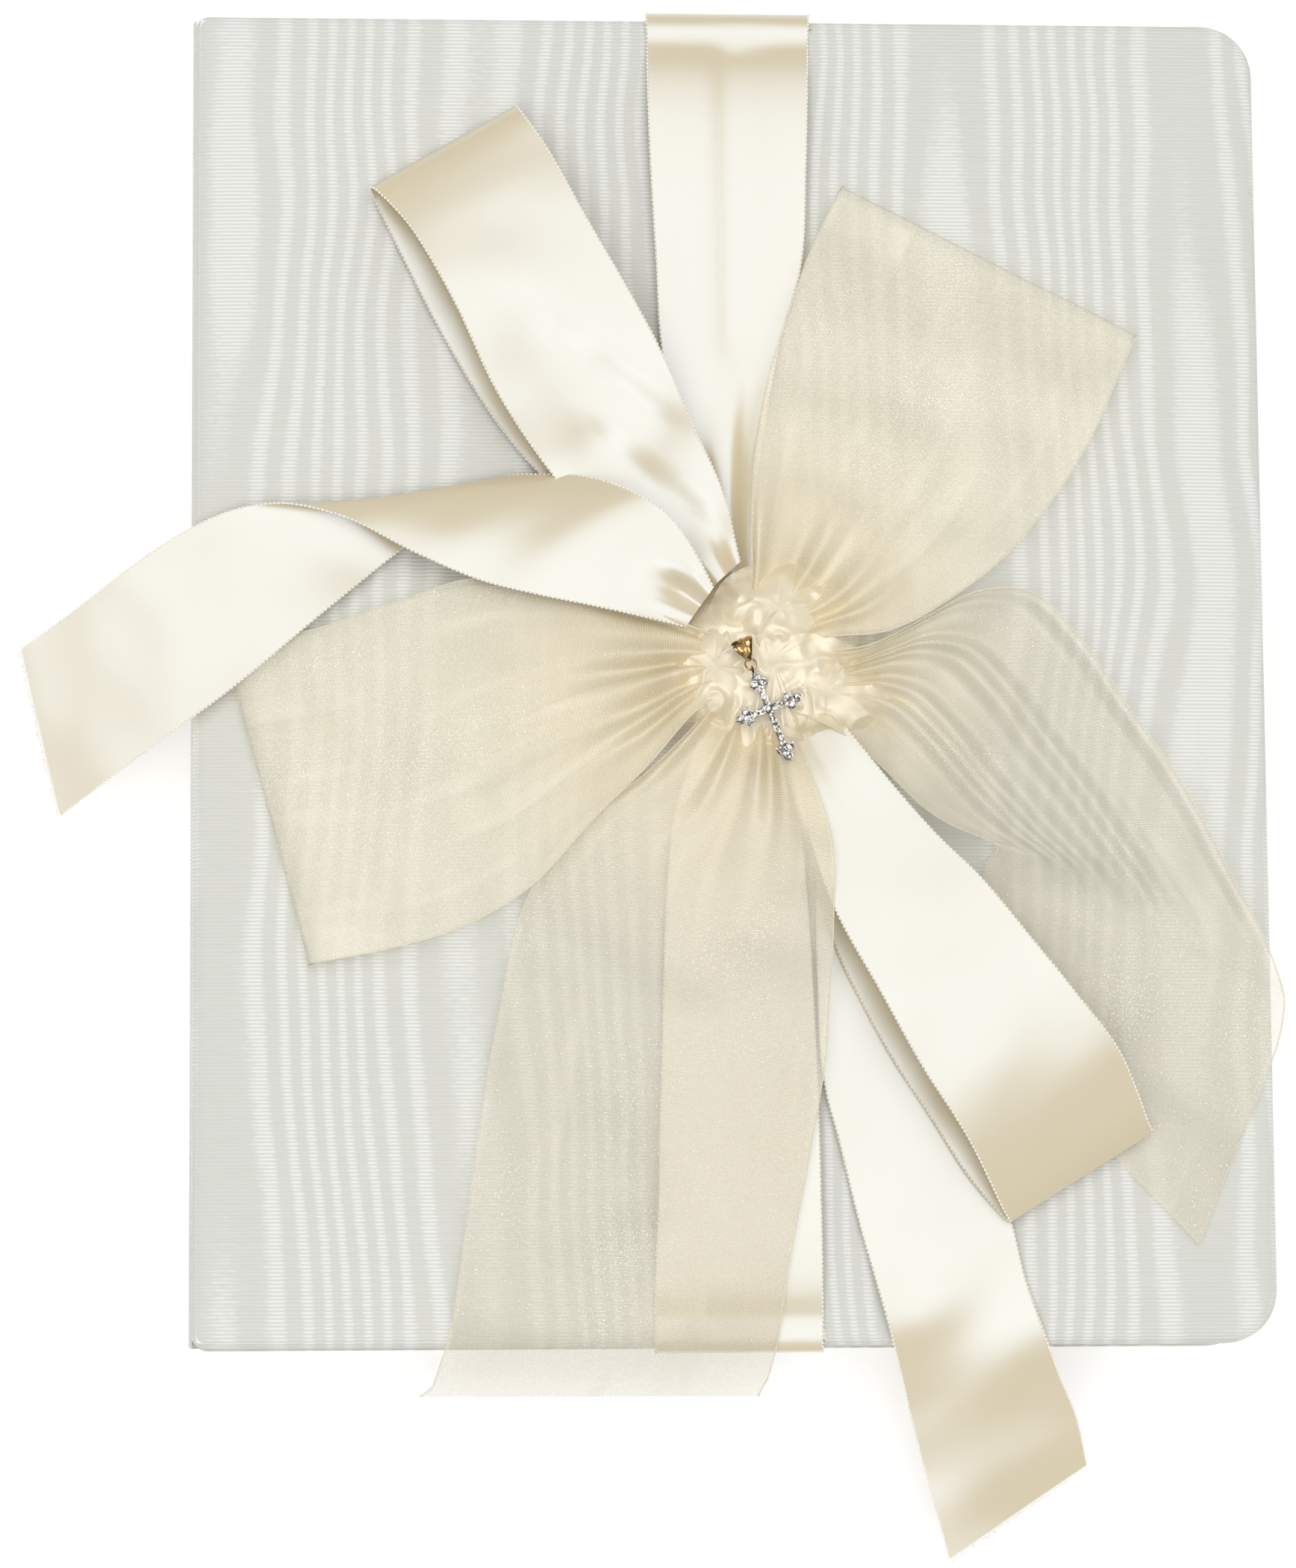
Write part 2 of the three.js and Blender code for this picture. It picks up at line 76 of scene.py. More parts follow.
# Ribbon sizes, in millimetres.
SATIN_WIDTH = 25.0
ORGANZA_WIDTH = 50.0
SATIN_THICKNESS = 0.2
PICOT_PITCH = 0.68
PICOT_RADIUS = 0.24
PICOT_GAP = 0.1
SELVAGE_RADIUS = 0.14
FRAY_RADIUS = 0.07
FRAY_THREADS = 90
GATHER_RADIUS = 19.0

# Near the knot the organza crowds together: its colour there, a painted warm glow for light bounced between
# the gathered layers and the satin, how much denser it is, and the distances from the knot, in millimetres,
# between which both fade.
PAINTED_KNOT_GLOW = (1.0, 0.89, 0.64, 1)
CROWDING = 0.22
CROWDING_REACH = (10.0, 52.0)

# A ribbon that lies within this half width and half height, in millimetres, stays above the cover.
COVER_HALF = (81, 101)
RIBBON_CLEARANCE = 0.3

# The bail: how far it leans with the pendant, and its middle and radius along the pendant, in millimetres.
PENDANT_LEAN_DEG = 22.0
BAIL_MIDDLE = 9.4
BAIL_RADIUS = 1.6

# Case sizes, in millimetres, and the flat size of one cover's cloth, in metres.
CLOTH_EDGE_RADIUS = 1.6
FORE_CORNER_RADIUS = 8.0
SPINE_CORNER_RADIUS = 2.2
TURN_IN = 5.5
TURN_IN_LIFT = 0.15
RIB_PITCH = 0.57

# The spine cloth's UVs run on from the front cover's spine edge, in metres.
SPINE_UV_START = -0.08


# ---------------------------------------------------------------- materials

class Shader:
    """Adds nodes to one material. A plain value sets a socket and a socket is linked to it."""

    def __init__(self, name, **settings):
        self.material = bpy.data.materials.new(name)
        self.material.use_nodes = True
        self.tree = self.material.node_tree
        self.surface = self.tree.nodes["Principled BSDF"]
        self.set(self.surface, settings)

    def set(self, node, settings):
        for name, value in settings.items():
            socket = node.inputs[name] if isinstance(name, int) else node.inputs[name.replace("_", " ")]
            if isinstance(value, bpy.types.NodeSocket):
                self.tree.links.new(value, socket)
            else:
                socket.default_value = value

    def node(self, kind, inputs=None, **options):
        node = self.tree.nodes.new("ShaderNode" + kind)
        for name, value in options.items():
            setattr(node, name, value)
        self.set(node, inputs or {})
        return node

    def math(self, operation, a, b=0.0):
        return self.node("Math", {0: a, 1: b}, operation=operation).outputs[0]

    def add(self, a, b):
        return self.math("ADD", a, b)

    def times(self, a, b):
        return self.math("MULTIPLY", a, b)

    def rest(self, share):
        """What is left of one."""
        return self.add(self.times(share, -1.0), 1.0)

    def wave(self, value, pitch, phase=0.0):
        """A cosine from -1 to 1 along `value`, once each `pitch`."""
        turns = self.times(value, 2 * math.pi / pitch)
        return self.math("COSINE", self.add(turns, phase))

    def ramp(self, value, low, high):
        """0 below `low`, 1 above `high`, smooth between."""
        node = self.node("MapRange", {"Value": value, "From Min": low, "From Max": high})
        node.interpolation_type = "SMOOTHSTEP"
        return node.outputs["Result"]

    def mix(self, factor, a, b):
        """A colour between `a` and `b`."""
        node = self.node("Mix", {0: factor, 6: a, 7: b}, data_type="RGBA")
        return node.outputs[2]

    def noise(self, vector, scale, detail=2.0, roughness=0.5):
        inputs = {"Vector": vector, "Scale": scale, "Detail": detail, "Roughness": roughness}
        return self.node("TexNoise", inputs).outputs["Fac"]

    def scaled(self, vector, scale):
        return self.node("VectorMath", {0: vector, 1: scale}, operation="MULTIPLY").outputs[0]

    def streaks(self, vector, scale, detail=2.0, roughness=0.5):
        """Noise whose scale differs along each axis."""
        return self.noise(self.scaled(vector, scale), 1.0, detail, roughness)

    def uv(self):
        """The UV vector, in metres on the cloth, with its two parts."""
        vector = self.node("UVMap", uv_map="UVMap").outputs[0]
        parts = self.node("SeparateXYZ", {0: vector})
        return vector, parts.outputs[0], parts.outputs[1]

    def place(self):
        """The point in the object's own coordinates, with its three parts."""
        vector = self.node("TexCoord").outputs["Object"]
        parts = self.node("SeparateXYZ", {0: vector})
        return vector, parts.outputs[0], parts.outputs[1], parts.outputs[2]

    def bump(self, height, distance, strength=1.0):
        node = self.node("Bump", {"Height": height, "Distance": distance, "Strength": strength})
        self.set(self.surface, {"Normal": node.outputs[0]})

    def base(self, colour):
        self.set(self.surface, {"Base_Color": colour})


def moire_cloth():
    """Ribbed silk with a pressed watermark: bands of fine stripes, with open arcs between them. The watermark
    is a painted sheen on the rib crests, and the grooves between the ribs hold painted shade.
    """
    s = Shader("moire_cloth", Roughness=0.48, Specular_IOR_Level=0.4, Sheen_Weight=0.2, Sheen_Roughness=0.4)
    vector, u, v = s.uv()
    drift = s.add(s.streaks(vector, (6.0, 11.0, 1.0)), -0.5)
    lane = s.add(u, s.times(drift, 0.020))
    fold = s.wave(lane, 0.074, 0.21)
    grain = s.streaks(vector, (24.0, 6.0, 1.0), 3.0)
    phase = s.add(s.times(fold, 4.2), s.times(grain, 3.0))
    shake = s.times(s.add(s.streaks(vector, (700.0, 1750.0, 1.0), 1.0), -0.5), 1.6)
    watermark = s.ramp(s.add(s.wave(phase, 1.0), shake), -0.5, 1.0)
    rib = s.wave(v, RIB_PITCH * MM)
    crest = s.ramp(rib, -0.5, 0.8)
    blotch = s.streaks(vector, (16.0, 9.0, 1.0), 2.0)
    slub = s.streaks(vector, (90.0, 1800.0, 1.0), 2.0)
    ground = s.mix(blotch, (0.645, 0.645, 0.59, 1), (0.71, 0.71, 0.66, 1))
    # Painted sheen: the watermark lightens the rib crests towards near white. Painted shade darkens the
    # grooves between the ribs.
    painted_sheen_mask = s.times(watermark, s.add(s.times(crest, 0.8), 0.2))
    painted_sheen_colour = s.mix(s.times(painted_sheen_mask, 0.66), ground, (0.91, 0.915, 0.90, 1))
    painted_groove_shade = s.times(s.rest(crest), 0.15)
    ribbed = s.mix(painted_groove_shade, painted_sheen_colour, (0.50, 0.505, 0.47, 1))
    s.base(s.mix(s.times(slub, 0.12), ribbed, (0.95, 0.95, 0.93, 1)))
    flat = s.add(s.times(watermark, -0.5), 1.0)
    s.bump(s.add(s.times(rib, flat), s.times(slub, 0.5)), 0.04 * MM, 0.8)
    return s.material


def satin():
    """Ivory satin: a smooth warp face with a long soft highlight and warm shade."""
    s = Shader("satin", Roughness=0.30, Anisotropic=0.3, IOR=1.95, Specular_IOR_Level=1.0)
    s.set(s.surface, {"Specular_Tint": (0.60, 0.78, 1.0, 1)})
    s.set(s.surface, {"Tangent": s.node("Tangent", direction_type="UV_MAP", uv_map="UVMap").outputs[0]})
    vector, _, v = s.uv()
    warp = s.streaks(vector, (5200.0, 260.0, 1.0), 2.0)
    weft = s.wave(v, 0.32 * MM)
    cloud = s.streaks(vector, (40.0, 18.0, 1.0), 2.0)
    tone = s.mix(cloud, (0.75, 0.62, 0.38, 1), (0.79, 0.66, 0.42, 1))
    s.base(s.mix(s.times(warp, 0.10), tone, (0.93, 0.87, 0.74, 1)))
    s.bump(s.add(s.times(warp, 0.8), s.times(weft, 0.22)), 0.010 * MM, 0.7)
    return s.material


def fibrous(name, low, high, scale, detail, depth, strength, contrast=0.5, stretch=(1, 1, 1), **settings):
    """Threads or fluff: one noise runs the colour between `low` and `high`, and raises the surface."""
    s = Shader(name, **settings)
    fibre = s.noise(s.scaled(s.place()[0], stretch), scale, detail, contrast)
    s.base(s.mix(fibre, low, high))
    s.bump(fibre, depth * MM, strength)
    return s.material


def organza(name, low, high, tint, ior=1.9, rim=None):
    """Sheer organza: an open weave that passes and scatters light, with painted glints: specks made lighter
    and more solid where its threads would catch the light.
    It covers from `low` to `high` of what is behind it. With `rim`, the cloth thins out as the UV's second
    part nears that length."""
    s = Shader(name, Roughness=0.42, IOR=ior, Specular_IOR_Level=1.0, Sheen_Weight=0.3, Sheen_Roughness=0.3)
    s.set(s.surface, {"Specular_Tint": (1.0, 0.94, 0.84, 1), "Sheen_Tint": (1.0, 0.93, 0.80, 1)})
    vector, u, v = s.uv()
    threads = s.math("MAXIMUM", s.wave(u, 0.30 * MM), s.wave(v, 0.34 * MM))
    grain = s.noise(vector, 3600.0, 0.0)
    shimmer = s.streaks(vector, (60.0, 34.0, 1.0), 2.0)
    # Painted glints: random specks of the weave turn near white and more solid.
    painted_glint = s.ramp(s.add(grain, s.times(shimmer, 0.5)), 0.98, 1.08)
    streak = s.ramp(s.streaks(vector, (190.0, 22.0, 1.0), 1.0), 0.52, 0.72)
    cover = s.ramp(s.add(s.times(threads, 0.5), s.add(s.times(grain, 0.7), s.times(streak, 0.5))), 0.0, 1.5)
    _, x, y, _ = s.place()
    from_knot = s.math("SQRT", s.add(s.times(x, x), s.times(y, y)))
    away = s.ramp(from_knot, CROWDING_REACH[0] * MM, CROWDING_REACH[1] * MM)
    # Near the knot the colour turns to the painted warm glow.
    colour = s.mix(painted_glint, s.mix(away, PAINTED_KNOT_GLOW, tint), (1.0, 0.99, 0.93, 1))
    s.base(colour)
    s.bump(s.add(s.times(threads, 0.6), s.times(grain, 0.5)), 0.04 * MM, 0.45)
    passing = s.node("BsdfTranslucent", {"Color": colour})
    cloth = s.node("MixShader", {0: 0.10, 1: s.surface.outputs[0], 2: passing.outputs[0]})
    opening = s.node("BsdfTransparent", {"Color": (1.0, 0.988, 0.965, 1)})
    crowded = s.times(s.rest(away), CROWDING)
    solid = s.math("MAXIMUM", s.add(s.add(s.times(cover, high - low), low), crowded), s.times(painted_glint, 0.85))
    if rim:
        solid = s.times(solid, s.rest(s.ramp(v, 0.30 * rim, 0.92 * rim)))
    sheer = s.node("MixShader", {0: solid, 1: opening.outputs[0], 2: cloth.outputs[0]})
    s.set(s.tree.nodes["Material Output"], {"Surface": sheer.outputs[0]})
    return s.material


def selvage():
    """The thicker woven edge of the organza."""
    s = Shader("selvage", Roughness=0.42, Specular_IOR_Level=0.6, Sheen_Weight=0.3)
    grain = s.noise(s.place()[0], 2600.0, 2.0)
    s.base(s.mix(grain, (0.86, 0.80, 0.60, 1), (0.95, 0.92, 0.78, 1)))
    s.set(s.surface, {"Alpha": s.add(s.times(grain, 0.4), 0.35)})
    s.bump(grain, 0.05 * MM, 0.5)
    return s.material


def paper(name, light, dark, stripe=0.0):
    """Uncoated ivory paper, with fibres and a little show-through."""
    s = Shader(name, Roughness=0.75, Specular_IOR_Level=0.25)
    vector, _, _, z = s.place()
    fibre = s.streaks(vector, (900.0, 300.0, 900.0), 3.0, 0.6)
    cloud = s.noise(vector, 40.0, 2.0)
    s.base(s.mix(s.add(s.times(fibre, 0.6), s.times(cloud, 0.4)), dark, light))
    s.bump(s.add(fibre, s.times(s.wave(z, 0.21 * MM), stripe)), 0.03 * MM, 0.5)
    return s.material


def lining():
    """Woven mull glued over the sewn sections."""
    s = Shader("lining", Roughness=0.8, Specular_IOR_Level=0.2)
    vector, _, y, z = s.place()
    mesh = s.math("MAXIMUM", s.wave(y, 0.8 * MM), s.wave(z, 0.8 * MM))
    s.base(s.mix(s.ramp(mesh, -0.3, 0.9), (0.62, 0.57, 0.47, 1), (0.86, 0.83, 0.75, 1)))
    s.bump(mesh, 0.1 * MM, 0.6)
    return s.material


def headband_silk():
    """Cream and gold silk worked round a cord."""
    s = Shader("headband_silk", Roughness=0.4, Specular_IOR_Level=0.6, Sheen_Weight=0.3)
    z = s.place()[3]
    s.base(s.mix(s.ramp(s.wave(z, 0.9 * MM), -0.3, 0.3), (0.62, 0.47, 0.20, 1), (0.88, 0.84, 0.70, 1)))
    s.bump(s.wave(z, 0.3 * MM), 0.08 * MM, 0.8)
    return s.material


def metal(name, colour, shade, roughness):
    """Polished metal with fine rubbing marks, and random patches turned towards `shade` as painted dark
    reflections.
    """
    s = Shader(name, Metallic=1.0, Specular_IOR_Level=0.5)
    vector = s.place()[0]
    rub = s.streaks(vector, (2400.0, 900.0, 900.0), 3.0, 0.6)
    # Painted dark reflections: random patches of the metal go near black.
    painted_dark_reflection = s.ramp(s.noise(vector, 1300.0, 1.0), 0.40, 0.62)
    s.base(s.mix(painted_dark_reflection, shade, colour))
    s.set(s.surface, {"Roughness": s.add(s.times(rub, 0.14), roughness)})
    s.bump(rub, 0.01 * MM, 0.4)
    return s.material


def cut_stone(name, dark, light):
    """Cut stones whose facets are painted light and dark, cell by cell, as painted reflections."""
    s = Shader(name, Roughness=0.05, IOR=2.0, Metallic=0.35)
    cells = s.node("TexVoronoi", {"Vector": s.place()[0], "Scale": 2600.0})
    # Painted reflections: each cell of facets is set light or dark.
    painted_facet_flash = s.ramp(cells.outputs["Color"], 0.30, 0.55)
    s.base(s.mix(painted_facet_flash, dark, light))
    s.bump(cells.outputs["Distance"], 0.12 * MM, 1.0)
    return s.material


MATERIALS = {
    "moire_cloth": moire_cloth(),
    "satin": satin(),
    # the fine looped edge thread of the satin ribbon
    "picot": fibrous("picot", (0.92, 0.85, 0.68, 1), (1.0, 0.97, 0.88, 1), 3000.0, 1.0, 0.05, 0.6,
                     Roughness=0.45, IOR=1.8, Specular_IOR_Level=0.9, Sheen_Weight=0.4),
    "organza": organza("organza", 0.20, 0.54, (1.0, 0.97, 0.83, 1)),
    # The tails' organza is a darker copy of the same cloth: its lower tint is painted shade.
    "organza_tail": organza("organza_tail", 0.30, 0.64, (0.78, 0.74, 0.60, 1)),
    # The knot's organza is tinted warmer too: a painted warm glow for light bounced between its gathered
    # layers and the satin.
    "organza_knot": organza("organza_knot", 0.75, 1.0, (1.0, 0.865, 0.585, 1), 2.4, GATHER_RADIUS * MM),
    "selvage": selvage(),
    "endpaper": paper("endpaper", (0.90, 0.89, 0.84, 1), (0.80, 0.79, 0.73, 1)),
    "leaves": paper("leaves", (0.88, 0.85, 0.76, 1), (0.70, 0.67, 0.58, 1), 1.0),
    "grey_board": fibrous("grey_board", (0.30, 0.29, 0.27, 1), (0.52, 0.50, 0.46, 1), 700.0, 4.0, 0.08, 0.6,
                          0.7, Roughness=0.85, Specular_IOR_Level=0.2),
    "wadding": fibrous("wadding", (0.78, 0.78, 0.76, 1), (0.93, 0.93, 0.91, 1), 350.0, 5.0, 0.4, 0.8,
                       0.7, Roughness=0.9, Specular_IOR_Level=0.1, Sheen_Weight=0.6),
    "lining": lining(),
    "headband_silk": headband_silk(),
    "gold": metal("gold", (0.72, 0.50, 0.21, 1), (0.14, 0.08, 0.03, 1), 0.08),
    "white_gold": metal("white_gold", (0.46, 0.44, 0.42, 1), (0.05, 0.045, 0.04, 1), 0.10),
    "clear_stone": cut_stone("clear_stone", (0.10, 0.10, 0.10, 1), (1.0, 0.99, 0.98, 1)),
    "champagne_stone": cut_stone("champagne_stone", (0.08, 0.06, 0.05, 1), (0.72, 0.66, 0.57, 1)),
    "thread": fibrous("thread", (0.74, 0.71, 0.62, 1), (0.95, 0.94, 0.88, 1), 1.0, 2.0, 0.06, 0.8,
                      stretch=(2600, 900, 900), Roughness=0.55, Specular_IOR_Level=0.4, Sheen_Weight=0.4),
}


# ---------------------------------------------------------------- mesh helpers

def make_mesh(name, points, faces, uvs=None):
    """A smooth-shaded object. Points are in metres, and uvs, one to a point, in metres on the cloth."""
    mesh = bpy.data.meshes.new(name)
    mesh.from_pydata([tuple(p) for p in points], [], faces)
    if uvs:
        layer = mesh.uv_layers.new(name="UVMap")
        for loop in mesh.loops:
            layer.data[loop.index].uv = uvs[loop.vertex_index]
    mesh.shade_smooth()
    made = bpy.data.objects.new(name, mesh)
    bpy.context.scene.collection.objects.link(made)
    return made


def grid_faces(rows, columns, closed=False):
    """Quads of a grid of points listed row by row. A closed grid joins its last column to its first."""
    faces = []
    for row in range(rows - 1):
        for column in range(columns if closed else columns - 1):
            beside = (column + 1) % columns
            low, high = row * columns, (row + 1) * columns
            faces.append((low + column, low + beside, high + beside, high + column))
    return faces


def finish_piece(made, material, body, replaced=()):
    """Gives a piece its material and its place in the frame."""
    made.data.materials.append(MATERIALS[material])
    if body:
        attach(made, body)
    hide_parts(*replaced)


def weld(made):
    """Merges points that lie together."""
    work = bmesh.new()
    work.from_mesh(made.data)
    bmesh.ops.remove_doubles(work, verts=work.verts, dist=0.01 * MM)
    work.to_mesh(made.data)
    work.free()


def thicken(made, thickness):
    """Gives a cloth its thickness, with crisp edges."""
    modifier = made.modifiers.new("thickness", "SOLIDIFY")
    modifier.thickness = thickness * MM
    modifier.offset = 0.0
    solid = bpy.data.meshes.new_from_object(made.evaluated_get(bpy.context.evaluated_depsgraph_get()))
    made.modifiers.clear()
    made.data = solid
    solid.set_sharp_from_angle(angle=math.radians(50))


def tube_mesh(name, lines, radius, sides=6):
    """Round tubes along lines of points. `radius` is in millimetres, or gives it at each place."""
    points, faces = [], []
    for line in lines:
        first = len(points)
        for index, here in enumerate(line):
            ahead = line[min(index + 1, len(line) - 1)]
            behind = line[max(index - 1, 0)]
            along = (ahead - behind).normalized()
            side = along.cross(Vector((0.31, 0.17, 0.93))).normalized()
            up = side.cross(along)
            size = (radius(index) if callable(radius) else radius) * MM
            for k in range(sides):
                angle = 2 * math.pi * k / sides
                points.append(here + size * (math.cos(angle) * side + math.sin(angle) * up))
        faces += [tuple(first + i for i in face) for face in grid_faces(len(line), sides, True)]
        faces.append(tuple(first + k for k in reversed(range(sides))))
        faces.append(tuple(first + (len(line) - 1) * sides + k for k in range(sides)))
    return make_mesh(name, points, faces)


# ---------------------------------------------------------------- curves

SPAN_STEPS = 10


def seen(x, y, height):
    """The point `height` millimetres over the cover that the camera sees at x, y on the cover's face."""
    on_cover = Vector((x * MM, y * MM, COVER_TOP))
    return on_cover + (CAMERA_AT - on_cover) * (height * MM / (CAMERA_AT.z - COVER_TOP))


def span_point(a, b, c, d, share):
    """A point between b and c on the centripetal Catmull-Rom curve through a, b, c and d."""
    knots = [0.0]
    for start, stop in ((a, b), (b, c), (c, d)):
        knots.append(knots[-1] + max((stop - start).length, 1e-7) ** 0.5)
    at = knots[1] + share * (knots[2] - knots[1])

    def between(p, q, low, high):
        return p + (q - p) * ((at - low) / (high - low))

    ab = between(a, b, knots[0], knots[1])
    bc = between(b, c, knots[1], knots[2])
    cd = between(c, d, knots[2], knots[3])
    abc = between(ab, bc, knots[0], knots[2])
    bcd = between(bc, cd, knots[1], knots[3])
    return between(abc, bcd, knots[1], knots[2])


def smooth_line(points):
    """A smooth line through the points, with SPAN_STEPS steps to each span."""
    points = [Vector(p) for p in points]
    guides = [2 * points[0] - points[1], *points, 2 * points[-1] - points[-2]]
    line = []
    for index in range(len(points) - 1):
        for step in range(SPAN_STEPS):
            line.append(span_point(*guides[index:index + 4], step / SPAN_STEPS))
    return line + [points[-1]]


def spread(line, count):
    """`count` points evenly spaced along a line."""
    reach = [0.0]
    for a, b in zip(line, line[1:]):
        reach.append(reach[-1] + (b - a).length)
    spaced, index = [], 0
    for step in range(count):
        target = reach[-1] * step / (count - 1)
        while index < len(line) - 2 and reach[index + 1] < target:
            index += 1
        stretch = max(reach[index + 1] - reach[index], 1e-9)
        spaced.append(line[index].lerp(line[index + 1], min((target - reach[index]) / stretch, 1.0)))
    return spaced


def edge_line(legs, steps):
    """One edge of a ribbon, as evenly spaced points, `steps` of them to a leg. Each leg lists (x, y, height)
    as the camera sees it, and starts where the last one ends."""
    line = smooth_line([seen(*point) for leg in legs for point in leg])
    spaced, start, used = [], 0, 0
    for leg, count in zip(legs, steps):
        used += len(leg)
        stop = (used - 1) * SPAN_STEPS
        part = spread(line[start:stop + 1], count)
        spaced += part if not spaced else part[1:]
        start = stop
    return spaced


def line_length(line):
    return sum((b - a).length for a, b in zip(line, line[1:]))


# ---------------------------------------------------------------- ribbons

def dent_depth(point, dents):
    """How far, in metres, the dents push a point down. A dent runs between two places on the cover,
    is steep on its left side and eases out further on its right."""
    depth = 0.0
    for start, stop, width, most in dents:
        a, b = Vector(start) * MM, Vector(stop) * MM
        along = (b - a).normalized()
        beside = along.cross(point.xy - a) / (width * MM)
        beside = beside if beside > 0 else beside / 2.5
        forward = (point.xy - a).dot(along)
        beyond = max(-forward, forward - (b - a).length, 0) / (2.2 * width * MM)
        depth += most * MM * math.exp(-beside * beside - beyond * beyond)
    return depth


def ribbon(name, left, right, steps, width, waves, columns, slack, deepest, ease=1.2, swell=0.0,
           dents=(), dent_from=0):
    """A ribbon between two edges, each given by its legs. Where they close up, it folds into pleats that keep
    its width. `steps` has the rows of each leg, `waves` the pleats across and `columns` the quads across.
    `slack` is the narrowing that needs no pleats, `deepest` the deepest pleat and `ease` the narrowing past
    which it is reached. `swell` is the height of the soft unevenness, and `dent_from` the first dented row.
    Returns the object with its rows of points."""
    rows, points, uvs = [], [], []
    travelled = 0.0
    left, right = edge_line(left, steps), edge_line(right, steps)
    for index, (a, b) in enumerate(zip(left, right)):
        nearby = slice(max(index - 1, 0), index + 2)
        along = (left[nearby][-1] - left[nearby][0]) + (right[nearby][-1] - right[nearby][0])
        normal = (b - a).cross(along).normalized()
        across = (b - a).length
        spare = max(0.0, width * MM / max(across, 1e-6) - slack)
        started = min(spare / ease, 1.0)
        most = deepest * MM * started ** 2 * (3 - 2 * started)
        depth = min(across / (math.pi * waves) * math.sqrt(spare), most)
        if index:
            travelled += ((a + b) / 2 - (left[index - 1] + right[index - 1]) / 2).length
        row = []
        for column in range(columns + 1):
            share = column / columns
            shift = 0.05 * math.sin(2 * math.pi * (1.3 * share + 0.2)) + 0.03 * math.sin(17 * share)
            turn = waves * (share + shift)
            strength = 0.55 + 0.9 * abs(noise.noise(Vector((2.6 * share, width, travelled * 12))))
            point = a.lerp(b, share) + normal * depth * strength * math.cos(2 * math.pi * turn)
            if swell:
                at = Vector((point.x, point.y, travelled)) / (14 * MM)
                point.z += swell * MM * noise.noise(at)
            if index >= dent_from:
                point.z -= dent_depth(point, dents)
            if abs(point.x) < COVER_HALF[0] * MM and abs(point.y) < COVER_HALF[1] * MM:
                on_rim = abs(point.y) > (COVER_HALF[1] - 3) * MM
                point.z = max(point.z, COVER_TOP + (RIBBON_CLEARANCE - 0.5 * on_rim) * MM)
            row.append(point)
            uvs.append((share * width * MM, travelled))
        rows.append(row)
        points += row
    made = make_mesh(name, points, grid_faces(len(rows), columns + 1), uvs)
    return made, rows


def bead_radius(index):
    """The looped edge thread swells once every four steps."""
    return PICOT_RADIUS * (0.55 + 0.45 * math.cos(math.pi * index / 2))


def picot_edges(name, rows):
    """Looped threads just outside a satin ribbon's two long edges."""
    lines = []
    for edge, inner in ((0, 1), (-1, -2)):
        border = [row[edge] + (row[edge] - row[inner]).normalized() * PICOT_GAP * MM for row in rows]
        count = max(8, int(line_length(border) / (PICOT_PITCH * MM) * 4))
        lines.append(spread(border, count))
    return tube_mesh(name, lines, bead_radius, 5)


def frayed_end(name, rows):
    """Short loose threads along a ribbon's cut end."""
    lines = []
    for k in range(FRAY_THREADS):
        at = (k + 0.5) / FRAY_THREADS * (len(rows[-1]) - 1)
        index = int(at)
        start = rows[-1][index].lerp(rows[-1][index + 1], at - index)
        away = (rows[-1][index] - rows[-2][index]).normalized()
        stray = noise.noise_vector(Vector((0.37 * k, 0.9, 0.1)))
        reach = (0.35 + 0.9 * abs(stray.x)) * MM
        lines.append([start - away * 0.2 * MM, start + away * reach * 0.5,
                      start + away * reach + stray * 0.25 * MM])
    return tube_mesh(name, lines, FRAY_RADIUS, 4)


def satin_ribbon(name, left, right, steps, also=(), held="laid", bend=None, frayed=False, deepest=1.2,
                 **shape):
    """A satin ribbon and its looped edges. It replaces the node of its name and the ones in `also`. With
    `bend`, its pieces join no body and stay where they lie; the body that `bend` names is not used."""
    made, rows = ribbon(name + "_ribbon", left, right, steps, SATIN_WIDTH, 1, 24, 1.25, deepest, **shape)
    edges = picot_edges(name + "_edges", rows)
    thicken(made, SATIN_THICKNESS)
    trims = [edges, frayed_end(name + "_fray", rows)] if frayed else [edges]
    for piece in (made, *trims):
        material, nodes = ("satin", (name, *also)) if piece is made else ("picot", ())
        finish_piece(piece, material, None if bend else "front_cover", nodes)
        if bend:
            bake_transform(piece)


def organza_ribbon(name, left, right, steps, also=(), material="organza", waves=4, deepest=1.5,
                   ease=1.2):
    """An organza ribbon and its two woven edges. It replaces the node of its name and the ones in `also`."""
    made, rows = ribbon(name + "_ribbon", left, right, steps, ORGANZA_WIDTH, waves, 56, 1.06, deepest, ease,
                        swell=1.4)
    lines = [[row[0] for row in rows], [row[-1] for row in rows]]
    edges = tube_mesh(name + "_edges", lines, SELVAGE_RADIUS)
    finish_piece(made, material, "front_cover", (name, *also))
    finish_piece(edges, "selvage", "front_cover")


